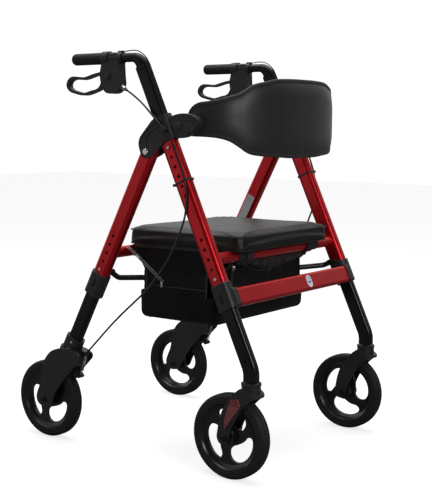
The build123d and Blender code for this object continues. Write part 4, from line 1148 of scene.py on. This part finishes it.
for side, sx in SIDES:
    face = sx * (TRACK + 26.6)
    # one red lens in two pieces: the top in the lens's own red, the lower part lighter and pinker as a
    # painted reflection
    for name, shape, x0, x1, key, bevel in (
        ("back", rounded(REFLECTOR, 3), -1.0, 1.0, "plastic", 0),
        ("top", rounded([*REFLECTOR[:3], SPLIT_B, SPLIT_A], 2.5), 0.6, 2.6, "reflector", 0.5),
        ("low", rounded([SPLIT_A, SPLIT_B, *REFLECTOR[3:]], 2.5), 0.6, 2.3, "reflector_painted_reflection", 0.5),
    ):
        lens = plate(f"reflector_{name}_{side}", shape, face + sx * x0, face + sx * x1, key, bevel)
        own(lens, f"caster_{side}")
    spring(side, sx)
    cable_tie(side, sx)
    adjuster(side, sx)
    cap = [(-1, 0), (-1, 2.2), (1.5, 3.0), (9.5, 3.2), (12, 2.4), (12.6, 0)]
    spot = (sx * (TRACK + 20), -101.5, 448.0)
    tip = capped_lathe(f"guide_cap_{side}", cap, "steel", spot, (0, 0.05, -1), 24)
    own(tip, "rear_frame")
    outward = (sx, 0, 0)
    for k, (y, z) in enumerate(((201, 263), (214, 244))):
        screw(f"clamp_screw_{side}_{k}", (sx * COLLAR_FACE, y, z), outward, 3.4, 1.8, f"rear_ext_{side}")
    for name, frame_name, (y, z) in (("collar", "front_frame", front_yz(185, 6)),
                                     ("rear_collar", "rear_frame", rear_yz(378, 4))):
        screw(f"{name}_screw_{side}", (sx * COLLAR_FACE, y, z), outward, 3.6, 1.6, frame_name, "plastic")
    button = ellipse_plate(f"release_button_{side}", (sx * (TRACK + 11), -141, 817), outward, (0, 0.16, 1),
                           9, 14, "plastic", 2.0)
    own(button, "front_frame")
    cap = ellipse_plate(f"lever_cap_{side}", (sx * (TRACK + 15), 75, 939), outward, (0, 0, 1), 8.6, 8.6,
                        "plastic", 1.3)
    own(cap, f"handle_{side}")
    for k, route in enumerate((
        [(-38, 752), (-31, 772), (-37, 792), (-56, 812), (-80, 827), (-104, 832)],
        [(-56, 768), (-50, 784), (-60, 801), (-82, 814), (-98, 818)],
    )):
        points = line([(sx * (TRACK + 18), y, z) for y, z in route])
        ridge = sweep(f"bracket_ridge_{side}_{k}", points, ring_section(1.5 if k == 0 else 1.2, 10), "gloss")
        own(ridge, "front_frame")
    tilt = math.radians(-9)
    rim = []
    for i in range(64):
        a = math.radians(-118 + 236 * i / 63) + math.pi
        u, v = 52.6 * math.cos(a), 26.6 * math.sin(a)
        rim.append(Vector((sx * (TRACK + 11), -147 + u * math.cos(tilt) - v * math.sin(tilt),
                           819 + u * math.sin(tilt) + v * math.cos(tilt))))
    rim = [q for q in rim if q.y < -158]
    own(sweep(f"end_lip_{side}", rim, ring_section(1.0, 8), "gloss"), "backrest")
    for k, (y, z) in enumerate(((-168, 832), (-186, 829), (-173, 805))):
        screw(f"end_stud_{side}_{k}", (sx * (TRACK + 12), y, z), outward, 2.4, 1.2, "backrest", "gloss")
    for k, ((y, z), lean, frame_name) in enumerate(((front_yz(178, 0), FRONT_LEAN, "front_frame"),
                                                    (rear_yz(372, 0), -REAR_LEAN, "rear_frame"))):
        up = (0, math.sin(math.radians(lean)), math.cos(math.radians(lean)))
        tab = ellipse_plate(f"collar_tab_{side}_{k}", (sx * COLLAR_FACE, y, z), outward, up, 13, 4.2,
                            "gloss", 1.6)
        own(tab, frame_name)
    screw(f"housing_screw_{side}", (sx * TRACK, 86, 999.2), (0, 0, 1), 3.4, 1.8, f"handle_{side}")

# the blank label inside the far rear leg, and the round print on the crossbar's oval badge
lean = math.radians(REAR_LEAN)
leg_line = Vector((0, math.sin(lean), -math.cos(lean)))
leg_side = Vector((0, math.cos(lean), math.sin(lean)))
middle = Vector((0, *rear_yz(189, 0)))
corners = [middle + leg_line * a + leg_side * b for a, b in flat_section(38, 12.5)]
label = plate("blank_label", rounded([(c.y, c.z) for c in corners], 3), 259.55, 259.2, "label")
own(label, "rear_frame")

badge_low, badge_high = (Vector(v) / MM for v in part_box("crossbar_badge"))
lean = math.radians(FRONT_LEAN)
out = Vector((0, -math.cos(lean), math.sin(lean)))
bar_up = Vector((0, math.sin(lean), math.cos(lean)))
centre = (badge_low + badge_high) / 2 + out * 0.7
disc = ellipse_plate("badge_disc", centre + bar_up * 2.5, out, bar_up, 8.0, 7.6, "blue", 0.5)
inner = centre + bar_up * 3.4 + Vector((-1.4, 0, 0))
moon = ellipse_plate("badge_inner", inner, out, bar_up, 5.2, 4.8, "white", 0.9)
for piece in (disc, moon):
    own(piece, "front_frame")


# ---- stitches
def stitches(name, places, body):
    """Short raised threads; places are (middle, direction along, outward normal)."""
    length, width, height = 3.4, 0.75, 0.45
    verts, faces = [], []
    for middle, along, normal in places:
        a, n = Vector(along).normalized(), Vector(normal).normalized()
        s = n.cross(a)
        base = len(verts)
        for t, w, h in ((-0.5, 0.2, -0.3), (-0.36, 1.0, 0.7), (0, 1.0, 1.0), (0.36, 1.0, 0.7),
                        (0.5, 0.2, -0.3)):
            for side_sign in (-1, 0, 1):
                lift = h if side_sign == 0 else h * 0.1 - 0.1
                verts.append(tuple(Vector(middle) + a * length * t + s * width * 0.5 * w * side_sign
                                   + n * height * lift))
        faces += [tuple(base + k for k in f) for f in grid_faces(5, 3)]
    own(make_mesh(name, verts, faces, "thread", 80), body)


def band_stitches(outline):
    """A row of stitches just inside the binding, on both faces of the band."""
    ahead, inward = edge_frame(outline)
    travelled, last, places = 0.0, outline[0], []
    for i in range(1, len(outline)):
        travelled += float(np.hypot(*(outline[i] - last)))
        last = outline[i]
        if travelled < 5.6:
            continue
        travelled = 0.0
        s, z = outline[i] + inward[i] * 6.6
        if abs(s) > BACK_HALF - 10:
            continue
        p, n = bow_at(s)
        q, _ = bow_at(s + 1.0)
        tangent = Vector((q[0] - p[0], q[1] - p[1], 0)).normalized()
        step = ahead[i] / np.hypot(*ahead[i])
        along = tangent * step[0] + Vector((0, 0, step[1]))
        for sign in (-1, 1):
            middle = (p[0] + sign * n[0] * 4.85, p[1] + sign * n[1] * 4.85, z)
            places.append((middle, along, (sign * n[0], sign * n[1], 0)))
    stitches("backrest_stitches", places, "backrest")


band_stitches(BAND)
